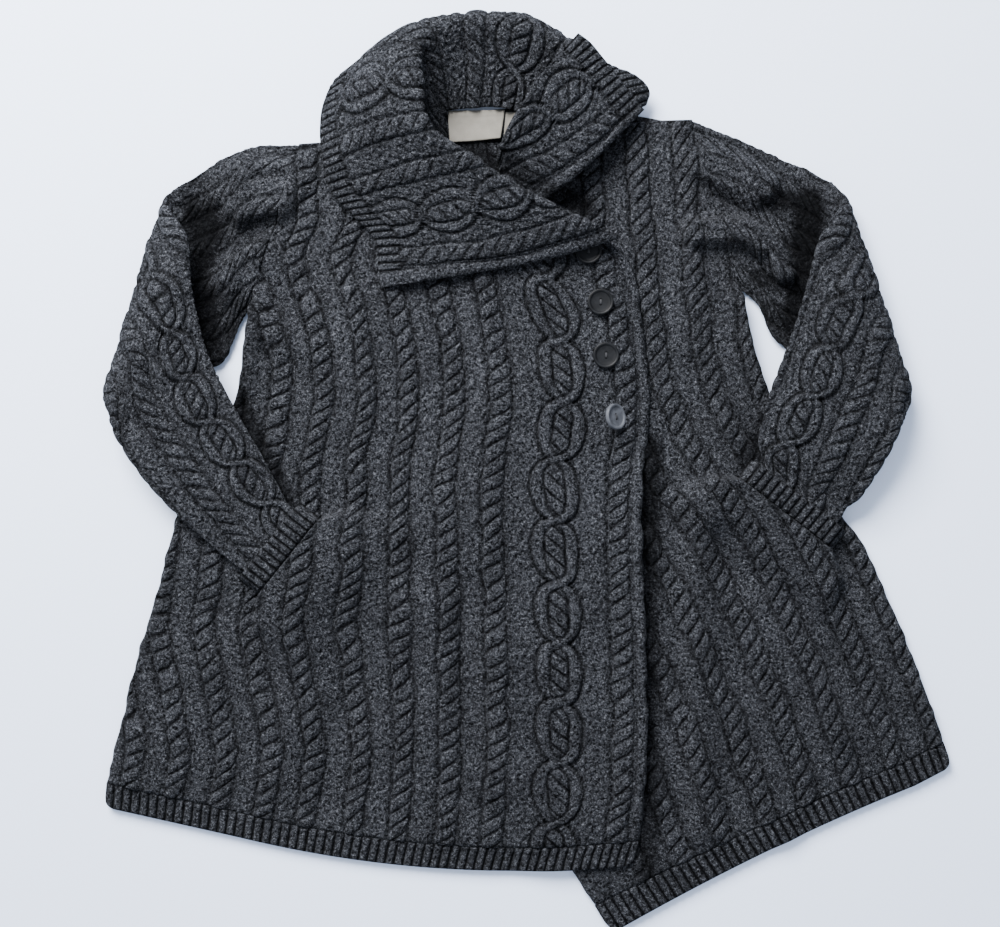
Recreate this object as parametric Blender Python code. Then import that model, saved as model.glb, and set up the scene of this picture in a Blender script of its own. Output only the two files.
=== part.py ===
"""Cable knit sweater coat lying on its back, buttoned, with both sleeve ends tucked in its pockets.

Lengths in the tables are millimetres on the surface the coat lies on: +X to the
wearer's left, +Y to the neck, +Z up. Each knitted piece is a wall of cloth in a node
of its own, and pieces stay SEAM apart where they are sewn together.
"""

from collections import namedtuple
from math import cos, hypot, radians, sin

import bmesh
import bpy
import numpy as np
from mathutils import Matrix, Vector

MM = 0.001
CLOTH = 4.0  # wall of the cable knit
SEAM = 0.4  # gap between two pieces that are sewn or lie together
BACK_TOP = CLOTH
FRONT_LOW = BACK_TOP + SEAM  # underside of a front that lies on the back
OVERLAP_LOW = FRONT_LOW + CLOTH + SEAM  # underside of the right front over the left one

WOOL = (0.032, 0.035, 0.043, 1.0)
HORN = (0.040, 0.043, 0.050, 1.0)
WOVEN = (0.62, 0.60, 0.54, 1.0)

# ---------------------------------------------------------------- panels

# A row of a panel: its outer side, the line of the pocket slit, its front edge, how far
# the middle of the row bows towards the neck, and how many mesh rows lead to the next.
Row = namedtuple("Row", "name side slit edge bow steps")

RIGHT_ROWS = (
    Row("hem", (-391, -288), (-265, -316), (103, -340), -17, 2),
    Row("low", (-377, -231), (-262, -250), (108, -271), -10, 3),
    Row("calf", (-359, -160), (-258, -172), (108, -195), -4, 2),
    Row("slit_foot", (-346, -119), (-252, -117), (107, -150), 0, 1),
    Row("slit_low", (-344, -112), (-247, -110.8), (107, -143), 0, 3),
    Row("slit_high", (-326, -45), (-195, -46.2), (104, -75), 0, 1),
    Row("slit_head", (-323, -38), (-190, -40), (104, -67), 0, 2),
    Row("hip", (-301, 8), (-186, 5), (104, -12), 0, 2),
    Row("waist", (-270, 71), (-180, 68), (112, 52), 0, 3),
    Row("armpit", (-258, 147), (-176, 147), (104, 140), 0, 2),
    Row("chest", (-243.4, 194), (-172, 194), (92, 194), 0, 2),
    Row("collar_turn", (-232.8, 228), (-168, 232), (29, 246), 0, 2),
    Row("neck", (-222.8, 260), (-165, 268), (-45, 283), 0, 2),
    Row("shoulder", (-211, 298), (-164, 302), (-119, 306), 0, 0),
)
LEFT_ROWS = (
    Row("hem", (384, -250), (350, -268), (61, -402), 3, 2),
    Row("low", (373, -219), (338, -236), (29, -350), 2, 2),
    Row("calf", (351, -160), (318, -178), (6, -276), 0, 2),
    Row("knee", (325, -100), (295, -112), (-8, -202), 0, 1),
    Row("slit_foot", (309, -67), (283, -75), (-14, -150), 0, 1),
    Row("slit_low", (304, -60), (277, -70.4), (-15, -143), 0, 3),
    Row("slit_high", (264, 7), (195, -7.6), (-20, -72), 0, 1),
    Row("slit_head", (259, 15), (189, -3), (-21, -65), 0, 2),
    Row("waist", (219, 80), (165, 76), (-24, 66), 0, 3),
    Row("armpit", (194, 167), (150, 158), (-25, 140), 0, 2),
    Row("chest", (180.7, 214), (140, 208), (-26, 196), 0, 2),
    Row("neck", (166.2, 265), (132, 262), (-17, 251), 0, 2),
    Row("shoulder", (150, 322), (118, 321), (66, 318), 0, 0),
)
BACK_ROWS = (
    Row("hem", (-385, -284), None, (383, -244), -68, 3),
    Row("low", (-351, -143), None, (350, -160), -20, 2),
    Row("pocket", (-323, -43), None, (292, -44), 0, 2),
    Row("waist", (-269, 71), None, (218, 80), 0, 2),
    Row("armpit", (-257, 148), None, (192, 168), 0, 2),
    Row("yoke", (-222.3, 260), None, (165.7, 265), 4, 2),
    Row("shoulder", (-211, 297), None, (149, 320), 27, 0),
)
# The ribbed hems: the bottom edge of each band, from its outer side to the front edge.
Band = namedtuple("Band", "name side slit edge bow")
RIGHT_BAND = Band("bottom", (-393, -311), (-268, -339), (96, -364), -16)
LEFT_BAND = Band("bottom", (392.5, -273), (358, -291), (77, -428), 6)
BACK_BAND = Band("bottom", (-388, -306), None, (386, -267), -74)
RIB_GAP = 0.4  # seam between a panel and its hem band

# Columns of mesh across a front, as shares of its side part and of its centre part.
SIDE_SHARES = (0.0, 0.2, 0.5, 0.8, 1.0)
CENTRE_SHARES = (0.0, 0.05, 0.11, 0.19, 0.29, 0.4, 0.51, 0.62, 0.73, 0.82, 0.91, 1.0)
BACK_SHARES = tuple(i / 9 for i in range(10))

# A fold is a soft ridge (or a trough, with a negative height) along a segment.
Fold = namedtuple("Fold", "name start end width height")
RIGHT_FOLDS = (
    Fold("side_swell", (-300, -190), (-345, -270), 45, 5),
    Fold("hip_swell", (-110, -150), (-60, -20), 60, 5),
    Fold("chest_swell", (-190, 60), (-160, 140), 50, 4),
    Fold("hem_wave", (-60, -250), (-40, -330), 45, 4),
    Fold("armpit_crease", (-245, 130), (-200, 110), 24, 4),
)
LEFT_FOLDS = (
    Fold("placket_ridge", (150, 30), (160, -330), 30, 9),
    Fold("knee_ridge", (215, -130), (285, -240), 36, 7),
    Fold("slant_ridge", (185, 60), (170, -40), 26, 6),
    Fold("chest_swell", (150, 120), (140, 200), 26, 4),
    Fold("hem_wave", (215, -280), (235, -330), 26, 5),
)
NECK_CORNER_Y = 240  # above here the left front's edge turns away along the neck
RIGHT_FLAT_X = (-10, 40)  # the right front's folds die away between here and here, beside the buttons
LEFT_COVERED_X = 124  # left of here the left front is flat, under the right one

# A pocket: the line of its slit, how far a lip rises over the sleeve end, how far that
# rise stays level past the slit and where it has died away.
Pocket = namedtuple("Pocket", "name foot head lift level reach")
RIGHT_POCKET = Pocket("right", (-252, -117), (-190, -40), 15.6, 32, 95)
LEFT_POCKET = Pocket("left", (283, -75), (189, -3), 15.6, 30, 72)
LIP_END = 8.0  # length of the slope at each end of a slit
LIP_SPREAD = 20.0  # how much further along the slit the rise reaches, away from it
SLIT_HALF = 0.3  # half of the slit's width


ORIGIN = (-0.25, -3.6)  # middle of the coat's box in the tables' own coordinates


def ease(low, high, value):
    """0 below low, 1 above high and a smooth slope between."""
    share = np.clip((value - low) / (high - low), 0.0, 1.0)
    return share * share * (3.0 - 2.0 * share)


def along(points, share):
    """The point at this share of a smooth curve through evenly spaced points."""
    last = len(points) - 1
    place = min(max(share * last, 0.0), last)
    first = min(int(place), last - 1)
    t = place - first
    p1, p2 = points[first], points[first + 1]
    p0 = points[first - 1] if first > 0 else 2 * p1 - p2
    p3 = points[first + 2] if first + 2 <= last else 2 * p2 - p1
    slope1, slope2 = (p2 - p0) / 2, (p3 - p1) / 2
    return (
        (2 * t**3 - 3 * t**2 + 1) * p1
        + (t**3 - 2 * t**2 + t) * slope1
        + (3 * t**2 - 2 * t**3) * p2
        + (t**3 - t**2) * slope2
    )


def fold_height(folds, x, y):
    """Height that the folds add at a point."""
    total = 0.0
    for fold in folds:
        (x0, y0), (x1, y1) = fold.start, fold.end
        length = hypot(x1 - x0, y1 - y0)
        ux, uy = (x1 - x0) / length, (y1 - y0) / length
        run = min(max((x - x0) * ux + (y - y0) * uy, 0.0), length)
        away = hypot(x - x0 - run * ux, y - y0 - run * uy)
        total += fold.height * (1.0 - ease(0.0, fold.width, away))
    return total


def pocket_lift(pocket, x, y, inner):
    """Height of a front over the sleeve end, which lies on the slit's centre side."""
    (x0, y0), (x1, y1) = pocket.foot, pocket.head
    length = hypot(x1 - x0, y1 - y0)
    ux, uy = (x1 - x0) / length, (y1 - y0) / length
    side = 1.0 if pocket.name == "right" else -1.0
    depth = side * ((x - x0) * uy - (y - y0) * ux)
    if depth < -1.0 or not inner:
        return 0.0
    depth = max(depth, 0.0)
    level = length / 2 - LIP_END + min(1.2 * depth, LIP_SPREAD)
    past = abs((x - x0) * ux + (y - y0) * uy - length / 2) - level
    across = 1.0 - ease(0.0, LIP_END + 0.5 * depth, past)
    return pocket.lift * across * (1.0 - ease(pocket.level, pocket.reach, depth))


def left_edge_x(y):
    """Where the left front's own edge lies under the right front."""
    edges = [row.edge for row in LEFT_ROWS]
    return float(np.interp(min(y, NECK_CORNER_Y), [e[1] for e in edges], [e[0] for e in edges]))


def right_low(x, y, inner):
    """Underside of the right front: it steps up where it lies over the left one."""
    over = ease(left_edge_x(y) - 62, left_edge_x(y) - 14, x)
    base = FRONT_LOW + (OVERLAP_LOW - FRONT_LOW) * over
    flat = 1.0 - ease(*RIGHT_FLAT_X, x)
    folds = fold_height(RIGHT_FOLDS, x, y) * flat
    return base + folds + pocket_lift(RIGHT_POCKET, x, y, inner)


def left_low(x, y, inner):
    """Underside of the left front, with its folds where nothing covers it."""
    folds = fold_height(LEFT_FOLDS, x, y) * ease(LEFT_COVERED_X, LEFT_COVERED_X + 30, x)
    return FRONT_LOW + folds + pocket_lift(LEFT_POCKET, x, y, inner)


def back_low(x, y, inner):
    """The back lies flat on the surface."""
    return 0.0


def bowed(start, end, bow, share):
    """A point of a line that bows in its middle."""
    return start + (end - start) * share + np.array((0.0, 4 * bow * share * (1 - share)))


def row_shape(row):
    """A row of a table as the points and the bow that row_columns takes."""
    slit = None if row.slit is None else np.array(row.slit, float)
    return np.array(row.side, float), slit, np.array(row.edge, float), row.bow


def row_at(rows, index, t):
    """A row between two rows of the table, on smooth curves through all of them."""
    share = (index + t) / (len(rows) - 1)

    def follow(field):
        if getattr(rows[0], field) is None:
            return None
        return along([np.array(getattr(row, field), float) for row in rows], share)

    bow = along([np.array(float(row.bow)) for row in rows], share)
    return follow("side"), follow("slit"), follow("edge"), float(bow)


def panel_rows(rows):
    """Every mesh row of a panel, from the hem up, with the names of those in the table."""
    made = []
    for index, row in enumerate(rows[:-1]):
        for step in range(row.steps):
            made.append((row.name if step == 0 else "", row_at(rows, index, step / row.steps)))
    made.append((rows[-1].name, row_shape(rows[-1])))
    return made


def row_columns(shape):
    """Points of a row from side to edge, each with the part it belongs to."""
    side, slit, edge, bow = shape
    if slit is None:
        return [("side", bowed(side, edge, bow, share)) for share in BACK_SHARES]
    side_part = [("side", bowed(side, slit, 0.0, share)) for share in SIDE_SHARES]
    return side_part + [("centre", bowed(slit, edge, bow, share)) for share in CENTRE_SHARES[1:]]


# ---------------------------------------------------------------- meshes


def material(name, colour, roughness):
    """A material for one sub-part."""
    made = bpy.data.materials.new(name)
    made.use_nodes = True
    shader = made.node_tree.nodes["Principled BSDF"]
    shader.inputs["Base Color"].default_value = colour
    shader.inputs["Roughness"].default_value = roughness
    shader.inputs["Metallic"].default_value = 0.0
    return made


def add_node(name, points, faces, colour, roughness=0.95):
    """One object from points in millimetres and faces, turned to face outwards."""
    mesh = bpy.data.meshes.new(name)
    placed = [(float(x - ORIGIN[0]) * MM, float(y - ORIGIN[1]) * MM, float(z) * MM) for x, y, z in points]
    mesh.from_pydata(placed, [], faces)
    work = bmesh.new()
    work.from_mesh(mesh)
    bmesh.ops.recalc_face_normals(work, faces=work.faces)
    work.to_mesh(mesh)
    work.free()
    mesh.materials.append(material(name, colour, roughness))
    node = bpy.data.objects.new(name, mesh)
    bpy.context.scene.collection.objects.link(node)
    return node


def wall(name, grid, thickness, colour, roughness=0.95, slit=None):
    """A closed wall over a grid of (x, y, z) undersides. A slit is (column, first row, last row)."""
    rows, columns = len(grid), len(grid[0])
    points, index = [], {}

    def vertex(row, column, lip, layer):
        opened = slit is not None and column == slit[0] and slit[1] < row < slit[2]
        key = (row, column, lip if opened else 0, layer)
        if key not in index:
            x, y, z = grid[row][column][lip] if opened else grid[row][column][0]
            index[key] = len(points)
            points.append((x, y, z + thickness * layer))
        return index[key]

    faces = []
    for row in range(rows - 1):
        for column in range(columns - 1):
            lip = 1 if slit is not None and column >= slit[0] else 0
            corners = ((row, column), (row, column + 1), (row + 1, column + 1), (row + 1, column))
            faces.append([vertex(r, c, lip, 0) for r, c in corners])
            faces.append([vertex(r, c, lip, 1) for r, c in reversed(corners)])
    rim = [((r, 0), (r + 1, 0), 0) for r in range(rows - 1)]
    rim += [((r, columns - 1), (r + 1, columns - 1), 1) for r in range(rows - 1)]
    for row in (0, rows - 1):
        rim += [((row, c), (row, c + 1), 0) for c in range(columns - 1)]
    if slit is not None:
        for row in range(slit[1], slit[2]):
            rim += [((row, slit[0]), (row + 1, slit[0]), lip) for lip in (0, 1)]
    for (r0, c0), (r1, c1), lip in rim:
        lows = [vertex(r0, c0, lip, 0), vertex(r1, c1, lip, 0)]
        highs = [vertex(r1, c1, lip, 1), vertex(r0, c0, lip, 1)]
        faces.append(lows + highs)
    return add_node(name, points, faces, colour, roughness)


def panel(name, rows, low):
    """A front or the back: its grid, with two lips where it has a pocket slit."""
    made = panel_rows(rows)
    names = [label for label, _ in made]
    slit = None
    if rows[0].slit is not None:
        slit = (len(SIDE_SHARES) - 1, names.index("slit_foot"), names.index("slit_head"))
    outward = -1.0 if rows[0].side[0] < 0 else 1.0
    grid = []
    for _, shape in made:
        line = []
        for place, (part, (x, y)) in enumerate(row_columns(shape)):
            inner = part == "centre"
            if slit is not None and place == slit[0]:
                shift = SLIT_HALF * outward
                line.append(((x + shift, y, low(x, y, False)), (x - shift, y, low(x, y, True))))
            else:
                line.append(((x, y, low(x, y, inner)),) * 2)
        grid.append(line)
    if slit is not None:
        for row, line in enumerate(grid):
            if not slit[1] < row < slit[2]:
                (x0, y0, z0), (x1, y1, z1) = line[slit[0]]
                middle = ((x0 + x1) / 2, y0, z0)
                line[slit[0]] = (middle, middle)
    return wall(name, grid, CLOTH, WOOL, slit=slit)


def hem(name, rows, band, low):
    """The ribbed band below a panel, RIB_GAP from its last row."""
    top = row_columns(row_shape(rows[0]))
    bottom = row_columns(row_shape(band))
    grid = []
    for share in (0.0, 0.5, 1.0):
        line = []
        for (part, high), (_, foot) in zip(top, bottom):
            start = high + (foot - high) * (RIB_GAP / hypot(*(foot - high)))
            x, y = start + (foot - start) * share
            line.append(((x, y, low(x, y, part == "centre")),) * 2)
        grid.append(line)
    return wall(name, grid, CLOTH, WOOL)


# ---------------------------------------------------------------- sleeves

# A section of a sleeve: its upper and lower edges and the height of its middle. It runs
# from the armhole out to the fold, turns over, and comes back down into the pocket.
Section = namedtuple("Section", "name upper lower height")
RIGHT_SLEEVE = (
    Section("armhole", (-212.2, 298.5), (-259.4, 148), 5.0),
    Section("upper_arm", (-247, 296), (-278, 132), 5.0),
    Section("mid_arm", (-281, 283), (-304, 109), 5.2),
    Section("turn_low", (-312, 269), (-346, 84), 6.4),
    Section("fold", (-334, 249), (-388, 64), 20.0),
    Section("turn_high", (-311, 216), (-380, 46), 34.0),
    Section("elbow", (-303, 158), (-370, 20), 32.0),
    Section("forearm", (-291, 109), (-351, -8), 28.5),
    Section("cuff_side", (-264, 54), (-323, -41), 23.0),
    Section("cuff", (-236, 3), (-292, -70), 18.5),
    Section("welt", (-215, -35), (-262, -94), 16.0),
    Section("slit", (-199, -52), (-243, -106), 14.6),
    Section("end", (-187, -74), (-226, -122), 12.6),
)
LEFT_SLEEVE = (
    Section("armhole", (151.2, 322.5), (195.4, 167), 5.0),
    Section("upper_arm", (191, 307), (219, 146), 5.0),
    Section("mid_arm", (231, 284), (252, 115), 5.2),
    Section("turn_low", (262, 268), (300, 84), 6.4),
    Section("fold", (284, 248), (349, 68), 20.0),
    Section("turn_high", (264, 217), (340, 46), 34.0),
    Section("elbow", (248, 158), (331, 24), 32.0),
    Section("forearm", (232, 109), (319, 0), 28.5),
    Section("cuff_side", (216, 64), (305, -22), 23.0),
    Section("cuff", (209, 30), (291, -38), 18.8),
    Section("welt", (213, 4), (284, -50), 16.8),
    Section("slit", (201, -11), (271, -64), 14.8),
    Section("end", (187, -40), (247, -88), 12.6),
)
SLEEVE_STEPS = 2  # mesh rings from one section to the next
SLEEVE_HALF = 4.5  # half the thickness of the flattened sleeve: two walls and the gap in it
SLEEVE_SHARES = (0.0, 0.04, 0.15, 0.38, 0.62, 0.85, 0.96, 1.0)
SLEEVE_ROUND = 5  # how squarely the two edges of the flattened tube turn
LOBE_RINGS = (3.7, 5.2)  # rings between which the upper arm's lobes die away
LUMEN = 0.45  # half the open space between a sleeve's two walls
LOBES = (
    Fold("shoulder_lobe", (-262, 270), (-244, 226), 34, 13),
    Fold("armpit_lobe", (-286, 200), (-262, 176), 30, 11),
    Fold("left_shoulder_lobe", (186, 285), (214, 232), 30, 12),
    Fold("left_armpit_lobe", (222, 200), (208, 176), 30, 9),
)


def centre_sheet(sections):
    """Points of a sleeve's middle surface: a line of points across for each ring."""
    uppers = [np.array((*s.upper, s.height)) for s in sections]
    lowers = [np.array((*s.lower, s.height)) for s in sections]
    count = (len(sections) - 1) * SLEEVE_STEPS
    sheet = []
    for ring in range(count + 1):
        a, b = along(uppers, ring / count), along(lowers, ring / count)
        sheet.append([a + (b - a) * share for share in SLEEVE_SHARES])
    return np.array(sheet)


def sheet_normals(sheet):
    """Unit normals of a grid of points."""
    down = np.gradient(sheet, axis=0)
    across = np.gradient(sheet, axis=1)
    normals = np.cross(down, across)
    return normals / np.linalg.norm(normals, axis=2, keepdims=True)


def sleeve(name, sections, first_up):
    """A flattened tube: an outer and an inner ring at every section, open at both ends."""
    sheet = centre_sheet(sections)
    normals = sheet_normals(sheet)
    if normals[0, 4, 2] * first_up < 0:
        normals = -normals
    rings, columns = sheet.shape[:2]
    points, faces, outer, inner = [], [], [], []
    for ring in range(rings):
        widths = sheet[ring, -1] - sheet[ring, 0]
        width = np.linalg.norm(widths)
        puff_fade = 1.0 - float(ease(*LOBE_RINGS, float(ring)))
        loops = {"outer": [], "inner": []}
        for layer in (-1, 1):
            order = range(columns) if layer < 0 else reversed(range(1, columns - 1))
            for column in order:
                share = SLEEVE_SHARES[column]
                middle, normal = sheet[ring, column], normals[ring, column]
                rounding = (1.0 - abs(2 * share - 1) ** SLEEVE_ROUND) ** 0.5
                puff = 0.0
                if layer > 0:
                    puff = fold_height(LOBES, middle[0], middle[1]) * puff_fade * rounding
                lobe = np.array((0, 0, puff))
                loops["outer"].append(middle + normal * layer * SLEEVE_HALF * rounding + lobe)
                margin = (CLOTH - 0.2) / width
                inset = margin + share * (1 - 2 * margin)
                inner_middle = sheet[ring, 0] + widths * inset
                loops["inner"].append(inner_middle + normal * layer * LUMEN * rounding + lobe)
        for kind, rims in (("outer", outer), ("inner", inner)):
            rims.append(range(len(points), len(points) + len(loops[kind])))
            points.extend(loops[kind])
    size = len(outer[0])
    for ring in range(rings - 1):
        for i in range(size):
            j = (i + 1) % size
            faces.append([outer[ring][i], outer[ring][j], outer[ring + 1][j], outer[ring + 1][i]])
            faces.append([inner[ring][j], inner[ring][i], inner[ring + 1][i], inner[ring + 1][j]])
    for ring in (0, rings - 1):
        for i in range(size):
            j = (i + 1) % size
            faces.append([outer[ring][i], outer[ring][j], inner[ring][j], inner[ring][i]])
    return add_node(name, points, faces, WOOL)


# ---------------------------------------------------------------- collar

# A section of the collar: the seam at the neck, its rise, the crest where it rolls over,
# the fall and the ribbed outer edge, as (x, y, height) of the middle of the cloth.
Roll = namedtuple("Roll", "name seam rise crest fall edge")
COLLAR_RIGHT = (
    Roll("front", (60, 226, 15.8), (84, 219, 18), (78, 211, 27), (0, 190, 23), (-136, 169, 15)),
    Roll("lapel_1", (36, 228, 16), (64, 227, 25), (51, 222, 36), (-30, 200, 27), (-139, 193, 14)),
    Roll("lapel_2", (6, 238, 16), (29, 243, 30), (17, 238, 42), (-60, 222, 29), (-143, 215, 14)),
    Roll("lapel_3", (-30, 253, 15.8), (-8, 260, 33), (-21, 259, 47), (-90, 246, 31), (-165, 238, 13)),
    Roll("lapel_4", (-56, 271, 14), (-44, 284, 35), (-59, 285, 51), (-118, 275, 36), (-183, 259, 12.5)),
    Roll("lobe_1", (-72, 291, 12.2), (-80, 307, 37), (-93, 310, 55), (-140, 302, 40), (-190, 288, 12)),
    Roll("lobe_2", (-77, 307, 9), (-86, 324, 39), (-99, 333, 57), (-146, 327, 44), (-193, 315, 8)),
    Roll("lobe_3", (-79, 319, 8), (-87, 346, 38), (-102, 357, 56), (-145, 353, 43), (-190, 342, 4)),
    Roll("lobe_4", (-78, 328, 8), (-87, 366, 38), (-101, 380, 52), (-134, 382, 40), (-176, 366, 4)),
    Roll("turn", (-75, 333, 8), (-82, 377, 33), (-93, 398, 45), (-113, 403, 30), (-140, 384, 4)),
    Roll("back_1", (-65, 335, 8), (-68, 379, 27), (-73, 405, 40), (-80, 413, 22), (-92, 388, 3)),
    Roll("back_2", (-52, 336, 8), (-51, 380, 26), (-51, 408, 38), (-51, 417, 19), (-52, 386, 2.8)),
    Roll("back_3", (-34, 337, 8), (-30, 380, 25), (-26, 408, 37), (-26, 417, 19), (-28, 386, 2.8)),
    Roll("back_4", (-17, 335, 8), (-7, 377, 24), (1, 403, 36), (3, 412, 18), (-2, 384, 3)),
    Roll("back_5", (-4, 329, 8), (12, 366, 22), (26, 390, 33), (32, 398, 18), (24, 376, 4)),
    Roll("back_6", (5, 320, 8), (28, 351, 20), (46, 378, 29), (57, 382, 16), (48, 364, 5)),
    Roll("back_7", (12, 308, 8), (44, 337, 18), (68, 366, 26), (81, 366, 14), (72, 352, 6.5)),
    Roll("back_end", (20, 297, 8), (58, 324, 16), (90, 355, 22), (102, 350, 13), (92, 340, 7)),
)
COLLAR_LEFT = (
    Roll("front", (62, 250, 12), (36, 250, 20), (33, 257, 32), (62, 287, 30), (105, 330, 25)),
    Roll("end_1", (56, 264, 12), (18, 264, 26), (13, 273, 39), (48, 303, 35), (92, 345, 28)),
    Roll("end_2", (52, 276, 12), (3, 279, 31), (0, 290, 45), (36, 322, 39), (79, 361, 31)),
    Roll("end_3", (52, 287, 12), (-4, 298, 36), (-7, 310, 50), (29, 342, 43), (66, 376, 34)),
    Roll("end_4", (55, 298, 12), (2, 318, 39), (0, 331, 52), (27, 358, 45), (55, 388, 37)),
    Roll("end_5", (61, 307, 12), (12, 338, 38), (9, 352, 50), (27, 374, 44), (44, 396, 38)),
)
COLLAR_HALF = 2.1  # half the thickness of the collar's cloth
COLLAR_STEPS = 2  # mesh lines from one section to the next
ROLL_STEPS = 10  # mesh lines from the neck seam to the outer edge


def collar(name, sections, steps):
    """A wall lofted through the sections, thickened to both sides of its middle."""
    count = (len(sections) - 1) * steps
    fields = ("seam", "rise", "crest", "fall", "edge")
    lines = {field: [np.array(getattr(s, field), float) for s in sections] for field in fields}
    sheet = []
    for place in range(count + 1):
        profile = [along(lines[field], place / count) for field in fields]
        sheet.append([along(profile, step / ROLL_STEPS) for step in range(ROLL_STEPS + 1)])
    sheet = np.array(sheet)
    normals = sheet_normals(sheet)
    rows, columns = sheet.shape[:2]
    points, faces = [], []
    for layer in (-1, 1):
        points.extend((sheet + normals * layer * COLLAR_HALF).reshape(-1, 3))
    top = rows * columns

    def at(row, column, layer):
        return layer * top + row * columns + column

    for row in range(rows - 1):
        for column in range(columns - 1):
            corners = ((row, column), (row, column + 1), (row + 1, column + 1), (row + 1, column))
            faces.append([at(r, c, 0) for r, c in corners])
            faces.append([at(r, c, 1) for r, c in reversed(corners)])
    for row in range(rows - 1):
        for column in (0, columns - 1):
            ends = ((row, column), (row + 1, column))
            faces.append([at(*ends[0], 0), at(*ends[1], 0), at(*ends[1], 1), at(*ends[0], 1)])
    for column in range(columns - 1):
        for row in (0, rows - 1):
            ends = ((row, column), (row, column + 1))
            faces.append([at(*ends[0], 0), at(*ends[1], 0), at(*ends[1], 1), at(*ends[0], 1)])
    return add_node(name, points, faces, WOOL)


# ---------------------------------------------------------------- pocket welts

# A welt: how far in from the slit's two ends it starts, its width, the height of its
# underside at its two ends, along the slit over the sleeve, and along its free edge.
Welt = namedtuple("Welt", "pocket inset width end_low slit_low free_low")
WELTS = (
    Welt(RIGHT_POCKET, 4.0, 23, 9.6, 20.4, 21.8),
    Welt(LEFT_POCKET, 4.0, 21, 11.6, 20.6, 23.4),
)
WELT_SHARES = (0.0, 0.04, 0.1, 0.2, 0.35, 0.5, 0.65, 0.8, 0.9, 0.96, 1.0)
WELT_CLOTH = 3.2
WELT_SEAM = 0.25  # from the middle of the slit to the welt


def welt(shape):
    """A ribbed band that stands on the slit's raised lip and lies over the sleeve."""
    foot, head = np.array(shape.pocket.foot, float), np.array(shape.pocket.head, float)
    run = (head - foot) / np.linalg.norm(head - foot)
    outward = np.array((-run[1], run[0])) * (1.0 if shape.pocket.name == "right" else -1.0)
    start, end = foot + run * shape.inset, head - run * shape.inset
    grid = []
    for across in (0.0, 0.5, 1.0):
        out = outward * (WELT_SEAM + (shape.width - WELT_SEAM) * across)
        high = shape.slit_low + (shape.free_low - shape.slit_low) * across
        line = []
        for share in WELT_SHARES:
            x, y = start + (end - start) * share + out
            rise = float(ease(0.0, 0.1, min(share, 1 - share)))
            line.append(((x, y, shape.end_low + (high - shape.end_low) * rise),) * 2)
        grid.append(line)
    return wall(f"pocket_welt_{shape.pocket.name}", grid, WELT_CLOTH, WOOL)


# ---------------------------------------------------------------- buttons and labels

# A button: the middle of its underside, how far it is tipped, and towards which side.
Button = namedtuple("Button", "number x y lift tip towards")
BUTTONS = (
    Button(1, 55, 203, 0.4, 0, 0),
    Button(2, 66, 156, 0.4, 0, 0),
    Button(3, 71, 107, 0.4, 0, 0),
    Button(4, 78, 51, 7.2, 40, 25),
)
BUTTON_RADIUS = 12.0
BUTTON_THICK = 4.0
BUTTON_RIM = 2.6  # width of the raised rim
BUTTON_DISH = 1.2  # depth of the face inside the rim
HOLE_RADIUS = 1.2
HOLE_APART = 4.4  # between the centres of the two holes
BUTTON_SIDES = 32


def button(shape):
    """A turned disc with a raised rim and two sewing holes."""
    work = bmesh.new()
    profile = (
        (BUTTON_RADIUS - 1.4, 0.0),
        (BUTTON_RADIUS, 1.4),
        (BUTTON_RADIUS, BUTTON_THICK - 1.0),
        (BUTTON_RADIUS - 1.0, BUTTON_THICK),
        (BUTTON_RADIUS - BUTTON_RIM, BUTTON_THICK - 0.3),
        (BUTTON_RADIUS - BUTTON_RIM - 1.0, BUTTON_THICK - BUTTON_DISH),
    )
    rings = []
    for radius, height in profile:
        ring = []
        for side in range(BUTTON_SIDES):
            turn = radians(360 / BUTTON_SIDES * side)
            ring.append(work.verts.new((radius * cos(turn) * MM, radius * sin(turn) * MM, height * MM)))
        rings.append(ring)
    for low, high in zip(rings, rings[1:]):
        for side in range(BUTTON_SIDES):
            after = (side + 1) % BUTTON_SIDES
            work.faces.new((low[side], low[after], high[after], high[side]))
    work.faces.new(list(reversed(rings[0])))
    work.faces.new(rings[-1])
    mesh = bpy.data.meshes.new(f"button_{shape.number}")
    work.to_mesh(mesh)
    work.free()
    mesh.materials.append(material(f"button_{shape.number}", HORN, 0.45))
    node = bpy.data.objects.new(f"button_{shape.number}", mesh)
    bpy.context.scene.collection.objects.link(node)
    top = right_low(shape.x, shape.y, True) + CLOTH
    node.matrix_world = (
        Matrix.Translation(Vector((shape.x - ORIGIN[0], shape.y - ORIGIN[1], top + shape.lift)) * MM)
        @ Matrix.Rotation(radians(shape.towards), 4, "Z")
        @ Matrix.Rotation(radians(shape.tip), 4, "Y")
    )
    for number in (-1, 1):
        cutter = hole_cutter(shape, number, node.matrix_world)
        cut = node.modifiers.new(f"hole_{number}", "BOOLEAN")
        cut.object = cutter
        cut.operation = "DIFFERENCE"
        cut.solver = "EXACT"
    return node


def hole_cutter(shape, number, place):
    """A thin drill through the button, hidden from renders."""
    work = bmesh.new()
    bmesh.ops.create_cone(
        work,
        cap_ends=True,
        segments=12,
        radius1=HOLE_RADIUS * MM,
        radius2=HOLE_RADIUS * MM,
        depth=3 * BUTTON_THICK * MM,
    )
    mesh = bpy.data.meshes.new(f"drill_{shape.number}_{number}")
    work.to_mesh(mesh)
    work.free()
    cutter = bpy.data.objects.new(mesh.name, mesh)
    bpy.context.scene.collection.objects.link(cutter)
    cutter.matrix_world = place @ Matrix.Translation((0.0, number * HOLE_APART / 2 * MM, BUTTON_THICK / 2 * MM))
    cutter.hide_render = True
    cutter.display_type = "WIRE"
    return cutter


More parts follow.
